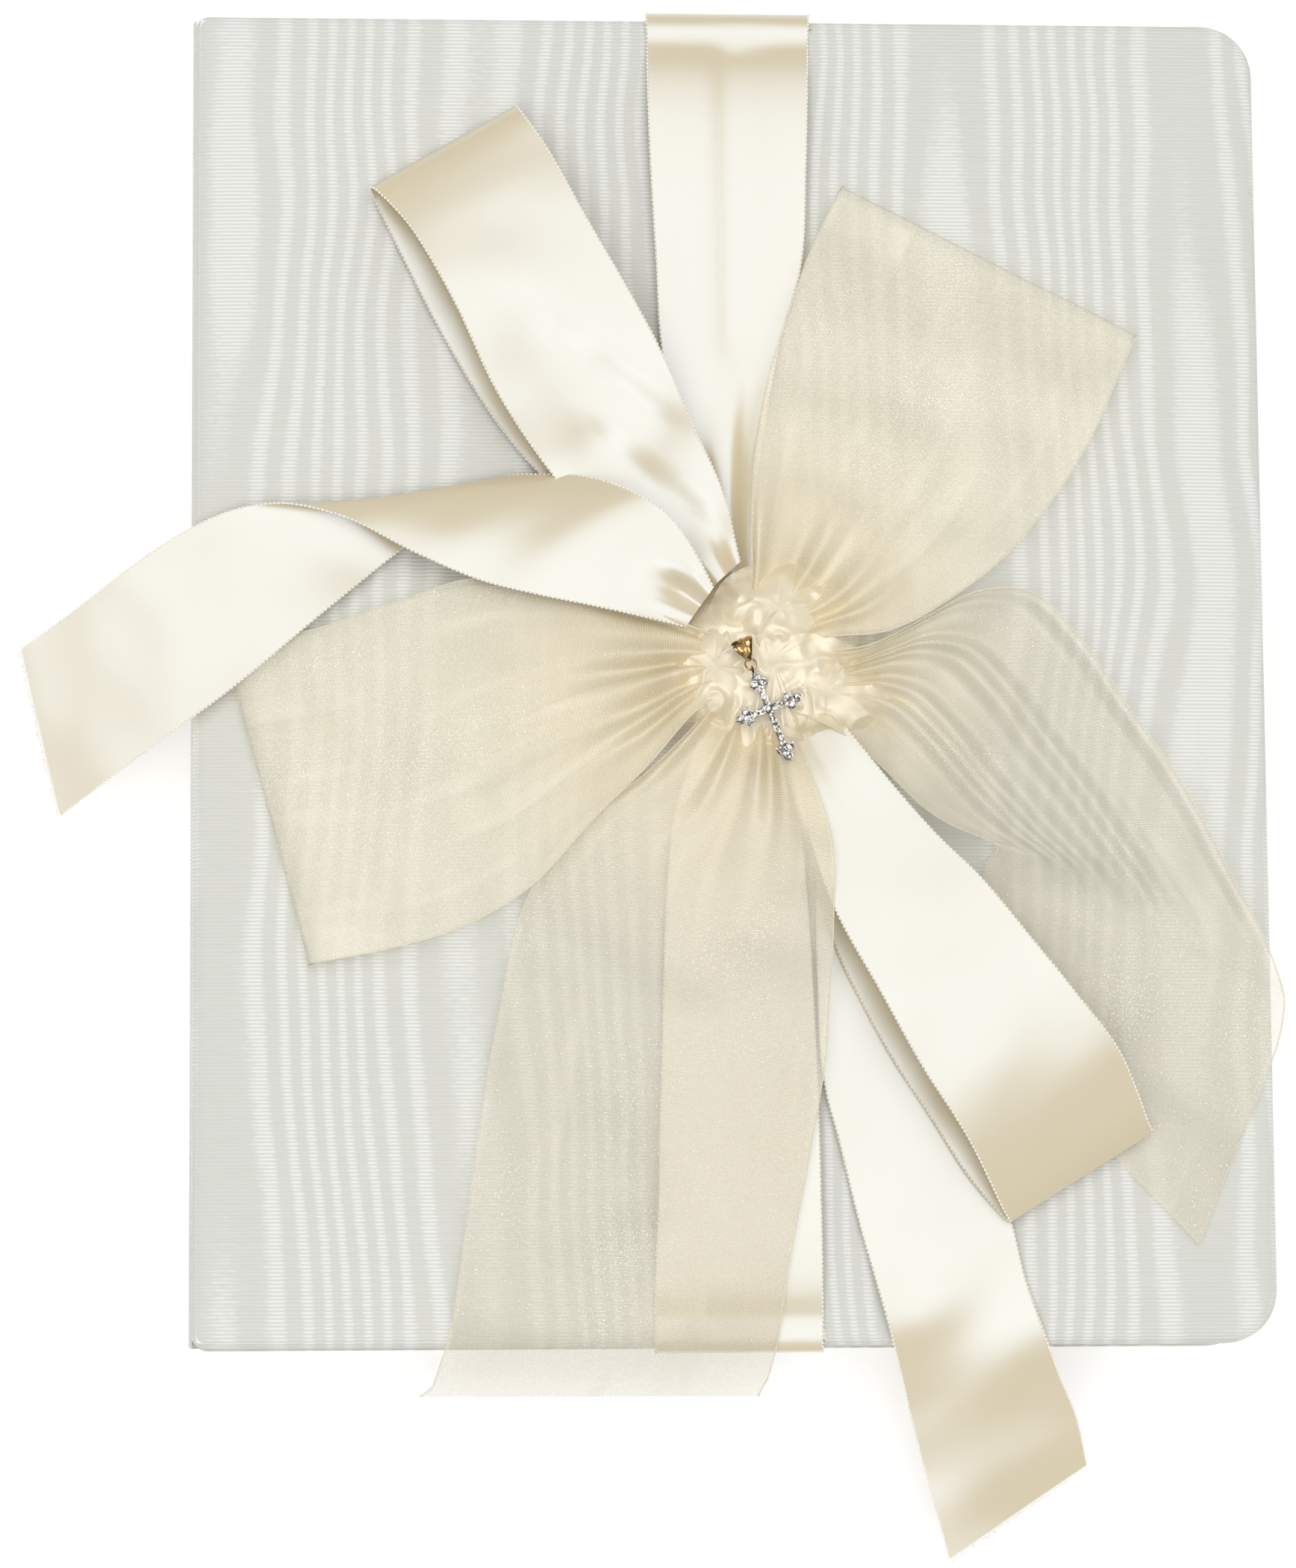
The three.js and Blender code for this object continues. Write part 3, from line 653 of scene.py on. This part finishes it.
def satin_band():
    """The band round the front cover, turned in under the board at both ends. `face` lists its west and east
    x, y and height."""
    rim_head = [(98.9, -4.75), (101.2, -4.75), (102.0, -4.2), (102.1, -2), (101.9, -0.2), (101.2, 0.45)]
    rim_tail = [(-y - 0.3, h) for y, h in reversed(rim_head)]
    face = [(-12.2, 12.3, 98, 0.4), (-12.2, 12.2, 94, 1.6), (-12.1, 12.1, 88, 2.5), (-11.8, 11.8, 78.8, 2.9),
            (-11, 10.9, 63, 2.6), (-10.3, 7.3, 50, 2.2), (-5.5, 3.4, 25, 1.8), (-3.6, 3.4, 12, 2.0),
            (-3.4, 3.5, 0, 2.2), (-4.4, 5.5, -8, 1.8), (-8.8, 9.5, -21.8, 1.4), (-11.1, 12.0, -61.6, 2.0),
            (-11.6, 12.4, -80, 2.8), (-12.0, 12.5, -88, 2.4), (-12.2, 12.5, -94, 1.5), (-12.3, 12.5, -98, 0.4)]
    places = [(-12.3, 12.4, *rim) for rim in rim_head] + face + [(-12.3, 12.4, *rim) for rim in rim_tail]
    left = [(west, y, height) for west, _, y, height in places]
    right = [(east, y, height) for _, east, y, height in places]
    satin_ribbon("satin_band", [left], [right], [150], held="stretched", deepest=0.9,
                 dents=[((0.4, 52), (0.4, 94), 2.6, 0.55)])


def satin_loop_upper():
    """The loop that runs out under itself to the upper left, folds over and comes back to the knot."""
    back_w = [(-6, 12, 3), (-16, 18, 3), (-28.9, 30.3, 2.2), (-35.8, 38.8, 1.8), (-43.2, 51, 1.6),
              (-50.2, 64.9, 1.5), (-54.4, 73.6, 1.8)]
    back_e = [(0, 16, 3), (-3, 27, 2.5), (-7.5, 37.5, 2), (-13, 50.3, 1.8), (-18, 60, 1.6), (-30, 81, 1.5),
              (-32.6, 86.4, 1.8)]
    front_w = [(-54.7, 74.6, 3), (-54.2, 74.6, 4.5), (-48.8, 68.9, 7), (-41.7, 56.7, 9), (-35.3, 42.9, 9),
               (-27.3, 30.7, 6.0), (-16, 17.5, 6.0), (-5, 11, 5.5)]
    front_e = [(-32.6, 87.4, 3), (-32.2, 87, 4.5), (-28, 81.1, 6.5), (-22.1, 70.3, 8), (-16.6, 60.6, 8.5),
               (-11.1, 50.3, 8.5), (-5.6, 37.5, 8.2), (-1.2, 27.1, 7.4), (1.2, 16.9, 6.8)]
    satin_ribbon("satin_loop_upper", [back_w, front_w], [back_e, front_e], [50, 60], held="folded", swell=0.3,
                 dents=[((-28, 49.5), (-13, 38.5), 3.3, 1.5), ((-19.3, 33.2), (-8.3, 24.1), 3.0, 1.5)],
                 dent_from=55)


def satin_loop_lower():
    """The loop that runs out under itself to the lower right, folds over and comes back to the knot."""
    back_w = [(3, 0, 3), (7, -12, 4), (11, -25, 3.4), (15.3, -41.6, 2.8), (19.1, -50, 2.6),
              (24.2, -59.4, 2.5), (29.3, -67.3, 2.4), (34.9, -76.2, 2.3), (40.2, -82.5, 2.6)]
    back_e = [(9, 2, 3), (17, -11, 4), (25, -25, 3.4), (33, -34.5, 2.8), (41, -44, 2.6),
              (48, -52, 2.4), (55, -60, 2.3), (61.8, -69.3, 2.6)]
    front_w = [(41.2, -83.2, 3.2), (40.6, -82.3, 4.2), (34.9, -70.5, 9.0), (28.3, -59.9, 11.2),
               (21.7, -47.9, 11.4), (15.3, -36.1, 10.8), (11.5, -25, 9.8), (7, -11, 8.0), (3, 0, 5)]
    front_e = [(62.7, -70, 3.2), (62.2, -69, 4.2), (58, -58, 8.8), (51.3, -48.8, 10.8), (45.1, -41, 11.0),
               (37.4, -31.5, 10.2), (29.8, -24, 9.4), (18, -10, 8.0), (9, 2, 5)]
    satin_ribbon("satin_loop_lower", [back_w, front_w], [back_e, front_e], [50, 60], held="folded",
                 deepest=0.35, swell=0.4)


def satin_tail_lower():
    """The tail that lies straight down to the right and hangs over the tail edge."""
    left = [(12, -12, 2.4), (12.5, -25, 2), (12.5, -45, 1.6), (13.3, -62, 1.3), (15.5, -71, 1.2),
            (18.6, -84, 1.1), (22.7, -98.8, 1.1), (24.4, -106, -1.6), (26.2, -114, -4), (31.2, -133.1, -8)]
    right = [(19, -12, 2.4), (23, -25, 2), (30, -48, 1.6), (37, -72, 1.2), (40.8, -82.8, 1.1),
             (43, -92, 1.1), (45.9, -100.5, 0.6), (48.2, -107, -1.6), (50.2, -112, -3.6), (51.8, -119.5, -6)]
    satin_ribbon("satin_tail_lower", [left], [right], [90], frayed=True, deepest=0.4, swell=0.5)


def satin_tail_left():
    """The tail turns over itself on a slanting fold, then lies out past the spine edge."""
    first_a = [(-7, 7, 9), (-20, 10, 9), (-30, 12, 8.4), (-38.4, 14.2, 7.8), (-48.4, 18.5, 6.8),
               (-58.3, 23.5, 5.4)]
    turn_a = [(-67, 25.6, 4.0), (-72.2, 25.2, 2.8), (-77.5, 23.7, 2.4), (-84.6, 20, 2.1), (-91.7, 14.9, 1.4),
              (-98.7, 9.4, 0.2), (-107.1, 3.1, -1.5)]
    first_b = [(-2.9, 12.8, 10), (-5.8, 18.4, 10.6), (-9.3, 23.5, 10.6), (-14.3, 27.1, 9.6), (-21.3, 29.7, 7),
               (-28, 30.2, 4.6)]
    turn_b = [(-36, 29.4, 3.2), (-44, 23.5, 2.4), (-53, 16.5, 2.6), (-61.7, 9.3, 3.6), (-75.5, -2.4, 3.2),
              (-88.2, -11.9, 1.6), (-101.2, -21.9, -1.5)]
    satin_ribbon("satin_tail_left", [first_a, turn_a], [first_b, turn_b], [60, 60],
                 ["satin_tail_left_turn", "satin_tail_left_end"], "folded", "satin_tail_end", True, swell=0.4)


def organza_loop_upper():
    """The wide loop to the upper right."""
    back_w = [(4, 13, 5), (3.3, 22, 3.6), (3.8, 31.7, 2.8), (5.3, 42.7, 2.2), (7.6, 51.8, 2), (11.7, 63.2, 2),
              (14.6, 69.5, 2), (17, 74.4, 2.4)]
    back_e = [(13, 6, 5), (24, 7, 3.6), (34.6, 12.7, 2.8), (41.4, 18.2, 2.2), (48.2, 26, 2), (54.3, 35.2, 2),
              (59.3, 45.8, 2), (62.0, 52.0, 2.4)]
    front_w = [(17.5, 75.2, 3.4), (17.3, 74.6, 4.5), (14.6, 69.5, 6), (11.9, 63.2, 8), (7.8, 51.8, 8.5),
               (5.3, 42.7, 9), (3.6, 31.7, 9.5), (3.1, 22, 10), (3, 13, 9.5), (1, 4, 5)]
    front_e = [(62.6, 52.4, 3.4), (62.4, 52.0, 4.5), (59.3, 45.2, 6), (54.5, 34.9, 8), (48.4, 25.7, 8.5),
               (41.6, 17.8, 9), (34.6, 12.3, 9.5), (24, 6.5, 10), (13, 5, 9.5), (6, 0, 5)]
    organza_ribbon("organza_loop_upper", [back_w, front_w], [back_e, front_e], [40, 60])


def organza_loop_left():
    """The wide loop to the left."""
    back_n = [(-4, 5, 4), (-14, 8.5, 3), (-25, 11.5, 2.2), (-38.2, 13, 1.8), (-51.3, 10, 1.4),
              (-63.7, 5.8, 1.2), (-76, 3.9, 1.3)]
    back_s = [(-5, -5, 4), (-13, -14, 3), (-21, -21.8, 2.2), (-31, -32.5, 1.8), (-40.8, -38.3, 1.4),
              (-52, -41.8, 1.2), (-63.3, -44.3, 1.3)]
    front_n = [(-76.9, 3.8, 1.9), (-76.6, 3.8, 2.5), (-63.7, 6.2, 3), (-51.3, 10.5, 4), (-38.2, 14.2, 5),
               (-25, 12.7, 7), (-14, 9.7, 8.5), (-4, 6, 9), (4, 4, 5)]
    front_s = [(-64.0, -44.6, 1.9), (-63.7, -44.3, 2.8), (-52, -42.0, 5), (-40.8, -38.6, 7), (-31, -32.8, 8),
               (-21, -22.2, 8.5), (-13, -14.4, 9), (-5, -5.4, 9), (3, -1, 5)]
    organza_ribbon("organza_loop_left", [back_n, front_n], [back_s, front_s], [40, 60])


def organza_tail_right():
    """The tail leans out to the fore edge, turns on a slanting fold and lies back under itself."""
    first_n = [(3, 4, 4), (12, 4, 8.5), (20, 4, 9), (30, 8.8, 8), (37.1, 12.4, 7.5), (46, 12.4, 6),
               (53, 5.5, 5), (60, -4.5, 4.5), (67, -15, 4.2), (74, -27.9, 4), (80, -40, 3.8)]
    first_s = [(2, -2, 4), (9, -6, 8), (16, -9, 8.5), (22, -14, 7), (28, -20, 6), (31.5, -22.5, 5.5),
               (34, -23.8, 5), (36, -24.6, 4.6), (37.5, -25.2, 4.2), (38.6, -25.6, 4), (39.4, -26, 3.8)]
    turn_n = [(82.6, -47, 3.0), (83.2, -50, 2.2), (82.2, -55.9, 1.5), (79.4, -63, 1.3), (76.4, -70.6, 1.2),
              (73, -78, 1.2), (69.4, -86.8, 1.1)]
    turn_s = [(39.8, -27.4, 3.0), (38.4, -28.8, 2.2), (37.4, -32, 1.7), (36.4, -36.5, 1.6), (35.6, -41, 1.6),
              (35.2, -45.5, 1.5), (35, -50, 1.5)]
    organza_ribbon("organza_tail_right", [first_n, turn_n], [first_s, turn_s], [60, 50],
                   ["organza_tail_right_turn"], "organza_tail", waves=6, deepest=2.4, ease=0.4)


def organza_tail_lower():
    """The tail that lies down over the band and curls over the tail edge."""
    left = [(1, 2, 4), (-4, -6, 8), (-14, -16, 8), (-25, -24.3, 5), (-32.1, -36.5, 3.6), (-35.6, -52.4, 3.2),
            (-37.3, -61.2, 3.2), (-39.4, -75.3, 3.4), (-41.5, -90.7, 3.2), (-43.1, -100.2, 1.6),
            (-44.3, -103.5, -0.3), (-45.3, -106.5, -4), (-45.8, -107.5, -9), (-47.5, -108.8, -13)]
    right = [(6, 0, 4), (9, -8, 9), (12, -16, 10.6), (14.8, -25.2, 11.8), (15, -35.7, 11.8),
             (14.2, -48.4, 8.5), (13.3, -59, 5.2), (10.2, -76.4, 4.4), (7.6, -89.5, 4.0), (5.9, -100.6, 1.6),
             (5, -104, -0.3), (4.2, -106.5, -4), (3.6, -107.5, -9), (2.9, -109, -13)]
    organza_ribbon("organza_tail_lower", [left], [right], [110], material="organza_tail")


# ---------------------------------------------------------------- knots

def gathered_lump(name, centre, radii, folds, depth, rim, material, slot, replaced, rests_on):
    """A low dome of gathered cloth, whose soft folds run out from its middle. Its UVs are (round, outward).
    The outward part reaches GATHER_RADIUS at the edge when `rim` is 1, where the organza has thinned out."""
    rings, sides = 48, 180
    points, uvs = [], []
    low = Vector(centre) * MM
    for ring in range(rings):
        share = ring / (rings - 1)
        for side in range(sides):
            angle = 2 * math.pi * side / sides
            way = Vector((math.cos(angle), math.sin(angle), 0.4 * folds))
            lean = 2.2 * noise.noise(way * 1.1) + 0.9 * share
            crease = math.cos(folds * (angle + lean)) * min(1.0, 1.4 * share)
            out = share * (1.0 + 0.16 * noise.noise(way * 1.6))
            x, y = radii[0] * out * way.x, radii[1] * out * way.y
            at = Vector((x, y, folds)) * 0.16
            crumple = 1.2 - 3.0 * abs(noise.noise(at + 0.8 * noise.noise_vector(at * 1.7)))
            rise = radii[2] * math.cos(share * math.pi / 2) ** 1.2
            points.append(low + Vector((x, y, rise + depth * (0.6 * crease + crumple))) * MM)
            uvs.append((angle * 10 * MM, share * rim * GATHER_RADIUS * MM))
    made = make_mesh(name + "_cloth", points, grid_faces(rings, sides, True), uvs)
    weld(made)
    finish_piece(made, material, "front_cover", replaced)


def knots():
    """The satin knot, and the organza that is gathered and pulled up over it."""
    gathered_lump("satin_knot", (3, 2, 26.0), (12, 11, 4.0), 7, 0.3, 1.0,
                  "satin", "satin", ["satin_knot"], "satin_band")
    lumps = (
        ("organza_gather", (5, 0, 29.0), (GATHER_RADIUS, 18, 4.4), 11, 0.4, 1.0),
        ("organza_puff_left", (-3.5, -1.0, 30.2), (9.5, 10.0, 3.6), 5, 0.42, 0.9),
        ("organza_puff_right", (13, -4.5, 29.6), (12.5, 8.5, 3.4), 6, 0.42, 0.95),
        ("organza_puff_lower", (4, -9, 29.4), (9.5, 8.0, 3.2), 6, 0.42, 0.95),
        ("organza_knot", (6.2, 8.0, 30.6), (9.6, 8.0, 4.2), 4, 0.5, 0.66),
    )
    for name, *shape in lumps:
        replaced = ["organza_knot"] if name == "organza_knot" else []
        gathered_lump(name, *shape, "organza_knot", "organza", replaced, "satin_knot")


# ---------------------------------------------------------------- pendant

def pendant_bail():
    """A tapered loop with three flutes, folded over from front to back."""
    stone_low, stone_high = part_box("centre_stone")
    pendant = (stone_low + stone_high) / 2
    pendant.z = sum(corner.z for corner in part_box("bail")) / 2
    lean = Matrix.Rotation(math.radians(PENDANT_LEAN_DEG), 3, "Z")
    steps, columns = 40, 36
    points = []
    for step in range(steps):
        turn = 2 * math.pi * step / steps
        rise = (1 + math.cos(turn)) / 2
        half_width = 0.30 + 1.35 * rise ** 0.8
        for column in range(columns):
            around = 2 * math.pi * column / columns
            across = math.cos(around)
            flute = 0.55 + 0.45 * abs(math.cos(1.5 * math.pi * across))
            thick = 0.30 * math.sin(around) * (flute if math.sin(around) > 0 else 0.6)
            along = BAIL_MIDDLE + (BAIL_RADIUS + thick) * math.cos(turn)
            up = (0.25 + 0.75 * rise + thick) * math.sin(turn)
            points.append(pendant + lean @ Vector((half_width * across, along, up)) * MM)
    faces = grid_faces(steps, columns, True)
    last = (steps - 1) * columns
    for column in range(columns):
        beside = (column + 1) % columns
        faces.append((last + column, last + beside, beside, column))
    made = make_mesh("fluted_bail", points, faces)
    finish_piece(made, "gold", "pendant_bail", ["bail"])


# ---------------------------------------------------------------- case

def rounded_plate(half_x, half_y, fore_radius, spine_radius, spacing=3.0):
    """Rows of (x, y) over a plate with round corners, in millimetres."""
    def stops(half, radii):
        marks = sorted({-half, half, *(sign * (half - r) for r in radii for sign in (-1, 1))})
        values = []
        for a, b in zip(marks, marks[1:]):
            count = max(1, round((b - a) / spacing)) if b - a > 8 else 4
            values += [a + (b - a) * k / count for k in range(count)]
        return values + [half]

    def corner(x, y):
        radius = fore_radius if x > 0 else spine_radius
        over_x, over_y = abs(x) - (half_x - radius), abs(y) - (half_y - radius)
        if over_x <= 0 or over_y <= 0:
            return x, y
        reach, least = max(over_x, over_y), min(over_x, over_y)
        angle = math.pi / 4 * least / reach
        angle = angle if over_x >= over_y else math.pi / 2 - angle
        new_x = half_x - radius + reach * math.cos(angle)
        new_y = half_y - radius + reach * math.sin(angle)
        return math.copysign(new_x, x), math.copysign(new_y, y)

    radii = (fore_radius, spine_radius)
    return [[corner(x, y) for x in stops(half_x, radii)] for y in stops(half_y, radii)]


def case_skin(name, board_cloth, face_z, inner_z, crown, body):
    """The moiré cloth over one board: a padded face, rounded rims and a turned-in border."""
    low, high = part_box(board_cloth)
    half_x, half_y = (high.x - low.x) / 2 / MM, (high.y - low.y) / 2 / MM
    middle = Vector(((low.x + high.x) / 2, (low.y + high.y) / 2, 0))
    rim = CLOTH_EDGE_RADIUS
    inset_x, inset_y = half_x - rim, half_y - rim
    fore, spine = FORE_CORNER_RADIUS - rim, SPINE_CORNER_RADIUS - rim
    sign = 1 if face_z > inner_z else -1
    inner_z -= sign * TURN_IN_LIFT
    rows = rounded_plate(inset_x, inset_y, fore, spine)
    points, uvs = [], []

    def keep(x, y, z, u, v):
        points.append(middle + Vector((x, y, z)) * MM)
        uvs.append((u * MM, v * MM))

    for row in rows:
        for x, y in row:
            inside = min(inset_x - abs(x), inset_y - abs(y))
            fall = (1 - min(inside / 12.0, 1.0)) ** 2
            ripple = 0.10 * noise.noise(Vector((x, y, face_z)) * 0.05)
            keep(x, y, face_z - sign * (crown * fall - ripple * (1 - fall)), x, y)
    columns = len(rows[0])
    faces = grid_faces(len(rows), columns)
    last = len(rows) - 1
    border = list(range(columns))
    border += [row * columns + columns - 1 for row in range(1, last + 1)]
    border += [last * columns + column for column in reversed(range(columns - 1))]
    border += [row * columns for row in reversed(range(1, last))]

    face_edge = face_z - sign * crown
    foot = 0.5
    profile = [(rim * math.sin(a), face_edge - sign * rim * (1 - math.cos(a)))
               for a in (math.pi / 2 * k / 6 for k in range(1, 7))]
    side_low = inner_z + sign * foot
    profile += [(rim, side_low + (profile[-1][1] - side_low) * k / 3) for k in (2, 1)]
    profile += [(rim - foot * (1 - math.cos(a)), side_low - sign * foot * math.sin(a))
                for a in (math.pi / 2 * k / 4 for k in range(5))]
    profile.append((rim - foot - TURN_IN, inner_z))
    flat_points = [(x, y) for row in rows for x, y in row]
    start = len(points)
    travelled, before = 0.0, (0.0, face_edge)
    for offset, z in profile:
        travelled += math.hypot(offset - before[0], z - before[1])
        before = (offset, z)
        for index in border:
            x, y = flat_points[index]
            radius = fore if x > 0 else spine
            core = Vector((max(-inset_x + radius, min(inset_x - radius, x)),
                           max(-inset_y + radius, min(inset_y - radius, y))))
            away = Vector((x, y)) - core
            out = away.normalized() if away.length > 1e-6 else Vector((1, 0))
            x_at, y_at = Vector((x, y)) + out * offset
            if offset < 0:
                inward = min(1, -offset / max(away.length, 1e-6))
                x_at, y_at = Vector((x, y)) + (core - Vector((x, y))) * inward
            keep(x_at, y_at, z, x + out.x * travelled, y + out.y * travelled)
    count = len(border)
    ring = border
    for step in range(len(profile)):
        new = [start + step * count + k for k in range(count)]
        for k in range(count):
            beside = (k + 1) % count
            faces.append((ring[beside], ring[k], new[k], new[beside]))
        ring = new
    if sign < 0:
        faces = [tuple(reversed(face)) for face in faces]
    made = make_mesh(name, points, faces, uvs)
    finish_piece(made, "moire_cloth", body, [board_cloth])


def profile_strip(name, profile, half_y, thickness):
    """A cloth strip: an x, z profile carried along y, in millimetres."""
    steps = 80
    points, uvs = [], []
    for step in range(steps + 1):
        y = -half_y + 2 * half_y * step / steps
        travelled, before = 0.0, profile[0]
        for x, z in profile:
            travelled += math.hypot(x - before[0], z - before[1])
            before = (x, z)
            points.append(Vector((x, y, z)) * MM)
            uvs.append((SPINE_UV_START - travelled * MM, y * MM))
    made = make_mesh(name, points, grid_faces(steps + 1, len(profile)), uvs)
    if thickness:
        thicken(made, thickness)
    return made


def spine_case():
    """The spine cloth over its board, and the two cloth joints, which join no body and keep their place."""
    low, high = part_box("spine_cloth")
    half_y = (high.y - low.y) / 2 / MM - 0.4
    bottom, top = low.z / MM, high.z / MM
    outer, inner = low.x / MM, high.x / MM
    profile = [(inner - 0.6, bottom + 0.3), (outer + 0.5, bottom + 0.3)]
    for k in range(11):
        share = k / 10
        bulge = 0.5 * math.sin(math.pi * share)
        profile.append((outer - bulge + 0.15, bottom + 0.4 + (top - bottom - 0.8) * share))
    profile += [(outer + 0.5, top - 0.3), (inner - 0.6, top - 0.3)]
    strip = profile_strip("case_spine", profile, half_y, 0.3)
    finish_piece(strip, "moire_cloth", "spine", ["spine_cloth"])
    across = (-81.3, -81.55, -81.75, -81.85, -81.75, -81.6)
    joints = (
        ("joint_front", "front_cover", (20.6, 19.9, 19.2, 18.6, 18.0, 17.4), 19.4, 18.1),
        ("joint_back", "back_cover", (1.4, 2.2, 2.8, 3.3, 3.9, 4.5), 2.7, 3.8),
    )
    for name, body, heights, start, end in joints:
        line = [Vector((x, 0, z)) for x, z in zip(across, heights)]
        smooth = [(p.x, p.z) for p in smooth_line(line)[::3]]
        piece = profile_strip(name, smooth, half_y, 0)
        finish_piece(piece, "moire_cloth", None)
        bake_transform(piece)


def leaf_section(node):
    """One sewn section: folded sheets nested in each other, with their folds at the spine."""
    low, high = (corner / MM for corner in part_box(node))
    sheets = 4
    gap = (high.z - low.z) / (2 * sheets)
    thickness = 0.55 * gap
    middle = (low.z + high.z) / 2
    points, faces = [], []
    for sheet in range(sheets):
        reach = gap * (sheets - sheet) - gap / 2
        trim = 0.35 * noise.noise(Vector((middle * 3.1, sheet * 1.7, 0.4)))
        fore = high.x - 0.15 - abs(trim)
        fold_x = low.x + 1.2
        path = [(fore, middle - reach)]
        for k in range(9):
            angle = -math.pi / 2 - math.pi * k / 8
            path.append((fold_x + reach * math.cos(angle), middle + reach * math.sin(angle)))
        path.append((fore, middle + reach))
        count, first = len(path), len(points)
        for y in (low.y + 0.05, high.y - 0.05):
            points += [Vector((x, y, z)) * MM for x, z in path]
            for x, z in path:
                away = Vector((min(x - fold_x, 0), z - middle))
                shift = away.normalized() * min(thickness, 0.9 * reach)
                points.append(Vector((x - shift.x, y, z - shift.y)) * MM)
        outer_a, inner_a, outer_b, inner_b = (first + count * k for k in range(4))
        for k in range(count - 1):
            for a, b in ((outer_a, outer_b), (inner_b, inner_a), (inner_a, outer_a), (outer_b, inner_b)):
                faces.append((a + k, a + k + 1, b + k + 1, b + k))
        faces.append((outer_a, outer_b, inner_b, inner_a))
        faces.append(tuple(start + count - 1 for start in (inner_a, inner_b, outer_b, outer_a)))
    made = make_mesh(node + "_leaves", points, faces)
    made.data.shade_flat()
    finish_piece(made, "leaves", "back_cover", [node])


# ---------------------------------------------------------------- scene

CAD_SLOTS = {
    "padding": "wadding", "pastedown": "endpaper", "flyleaf": "endpaper", "board": "grey_board",
    "cloth": "moire_cloth", "lining": "lining", "section": "leaves", "leaf_group": "leaves",
    "headband": "headband_silk", "tailband": "headband_silk", "satin": "satin", "organza": "organza_knot",
    "stone": "clear_stone", "baguette": "champagne_stone", "cross_frame": "white_gold",
    "ring": "gold", "bail": "gold", "stitch": "thread",
}


def dress_cad_nodes():
    """Gives every CAD node its own procedural material, by the first word of CAD_SLOTS in its name."""
    for name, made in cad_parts.items():
        slot = next(slot for word, slot in CAD_SLOTS.items() if word in name)
        made.data.materials.clear()
        made.data.materials.append(MATERIALS[slot])


def make_camera():
    data = bpy.data.cameras.new("camera")
    data.sensor_fit = "VERTICAL"
    data.sensor_height = SENSOR_HEIGHT_MM
    data.lens = CAMERA_LENS_MM
    camera = bpy.data.objects.new("camera", data)
    camera.location = CAMERA_AT
    camera.rotation_euler = [math.radians(angle) for angle in CAMERA_TURN_DEG]
    bpy.context.scene.collection.objects.link(camera)
    bpy.context.scene.camera = camera


def make_light():
    """A wide soft glow overhead that fades to a dim room, with one weak panel for sparkle."""
    data = bpy.data.lights.new("overhead", "AREA")
    data.shape = "RECTANGLE"
    data.size = data.size_y = PANEL_SIZE
    data.energy = PANEL_POWER
    panel = bpy.data.objects.new("overhead", data)
    panel.location = PANEL_AT
    panel.rotation_euler = (-PANEL_AT).to_track_quat("-Z", "Y").to_euler()
    panel.visible_camera = False
    bpy.context.scene.collection.objects.link(panel)
    world = bpy.data.worlds.new("studio")
    world.use_nodes = True
    tree = world.node_tree
    tree.nodes["Background"].inputs["Color"].default_value = (1, 1, 1, 1)
    towards = tree.nodes.new("ShaderNodeTexCoord")
    nearness = tree.nodes.new("ShaderNodeVectorMath")
    nearness.operation = "DOT_PRODUCT"
    nearness.inputs[1].default_value = Vector(GLOW_TOWARDS).normalized()
    fade = tree.nodes.new("ShaderNodeMapRange")
    fade.interpolation_type = "SMOOTHSTEP"
    for socket, value in zip(fade.inputs[1:5], (*GLOW_EDGES, *GLOW_STRENGTHS)):
        socket.default_value = value
    tree.links.new(towards.outputs["Generated"], nearness.inputs[0])
    tree.links.new(nearness.outputs["Value"], fade.inputs["Value"])
    tree.links.new(fade.outputs["Result"], tree.nodes["Background"].inputs["Strength"])
    bpy.context.scene.world = world
    bpy.context.scene.view_settings.view_transform = "Standard"


def make_floor():
    """A plain white table, with a little light of its own so that it stays pale."""
    half, level = 2.0, -0.0002
    corners = [(-half, -half, level), (half, -half, level), (half, half, level), (-half, half, level)]
    floor = make_mesh("floor", corners, [(0, 1, 2, 3)])
    s = Shader("floor", Base_Color=(0.82, 0.82, 0.82, 1), Roughness=0.8, Specular_IOR_Level=0.1,
               Emission_Color=(1, 1, 1, 1), Emission_Strength=0.35)
    floor.data.materials.append(s.material)


make_camera()
make_light()
make_floor()
dress_cad_nodes()
case_skin("case_front", "front_cloth", COVER_TOP / MM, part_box("front_cloth")[0].z / MM, 0.6, "front_cover")
case_skin("case_back", "back_cloth", 0.0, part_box("back_cloth")[1].z / MM, 0.0, "back_cover")
spine_case()
for number in range(1, 8):
    leaf_section(f"section_{number}")
satin_band()
satin_loop_upper()
satin_loop_lower()
satin_tail_lower()
satin_tail_left()
organza_loop_left()
organza_tail_right()
organza_loop_upper()
organza_tail_lower()
knots()
pendant_bail()
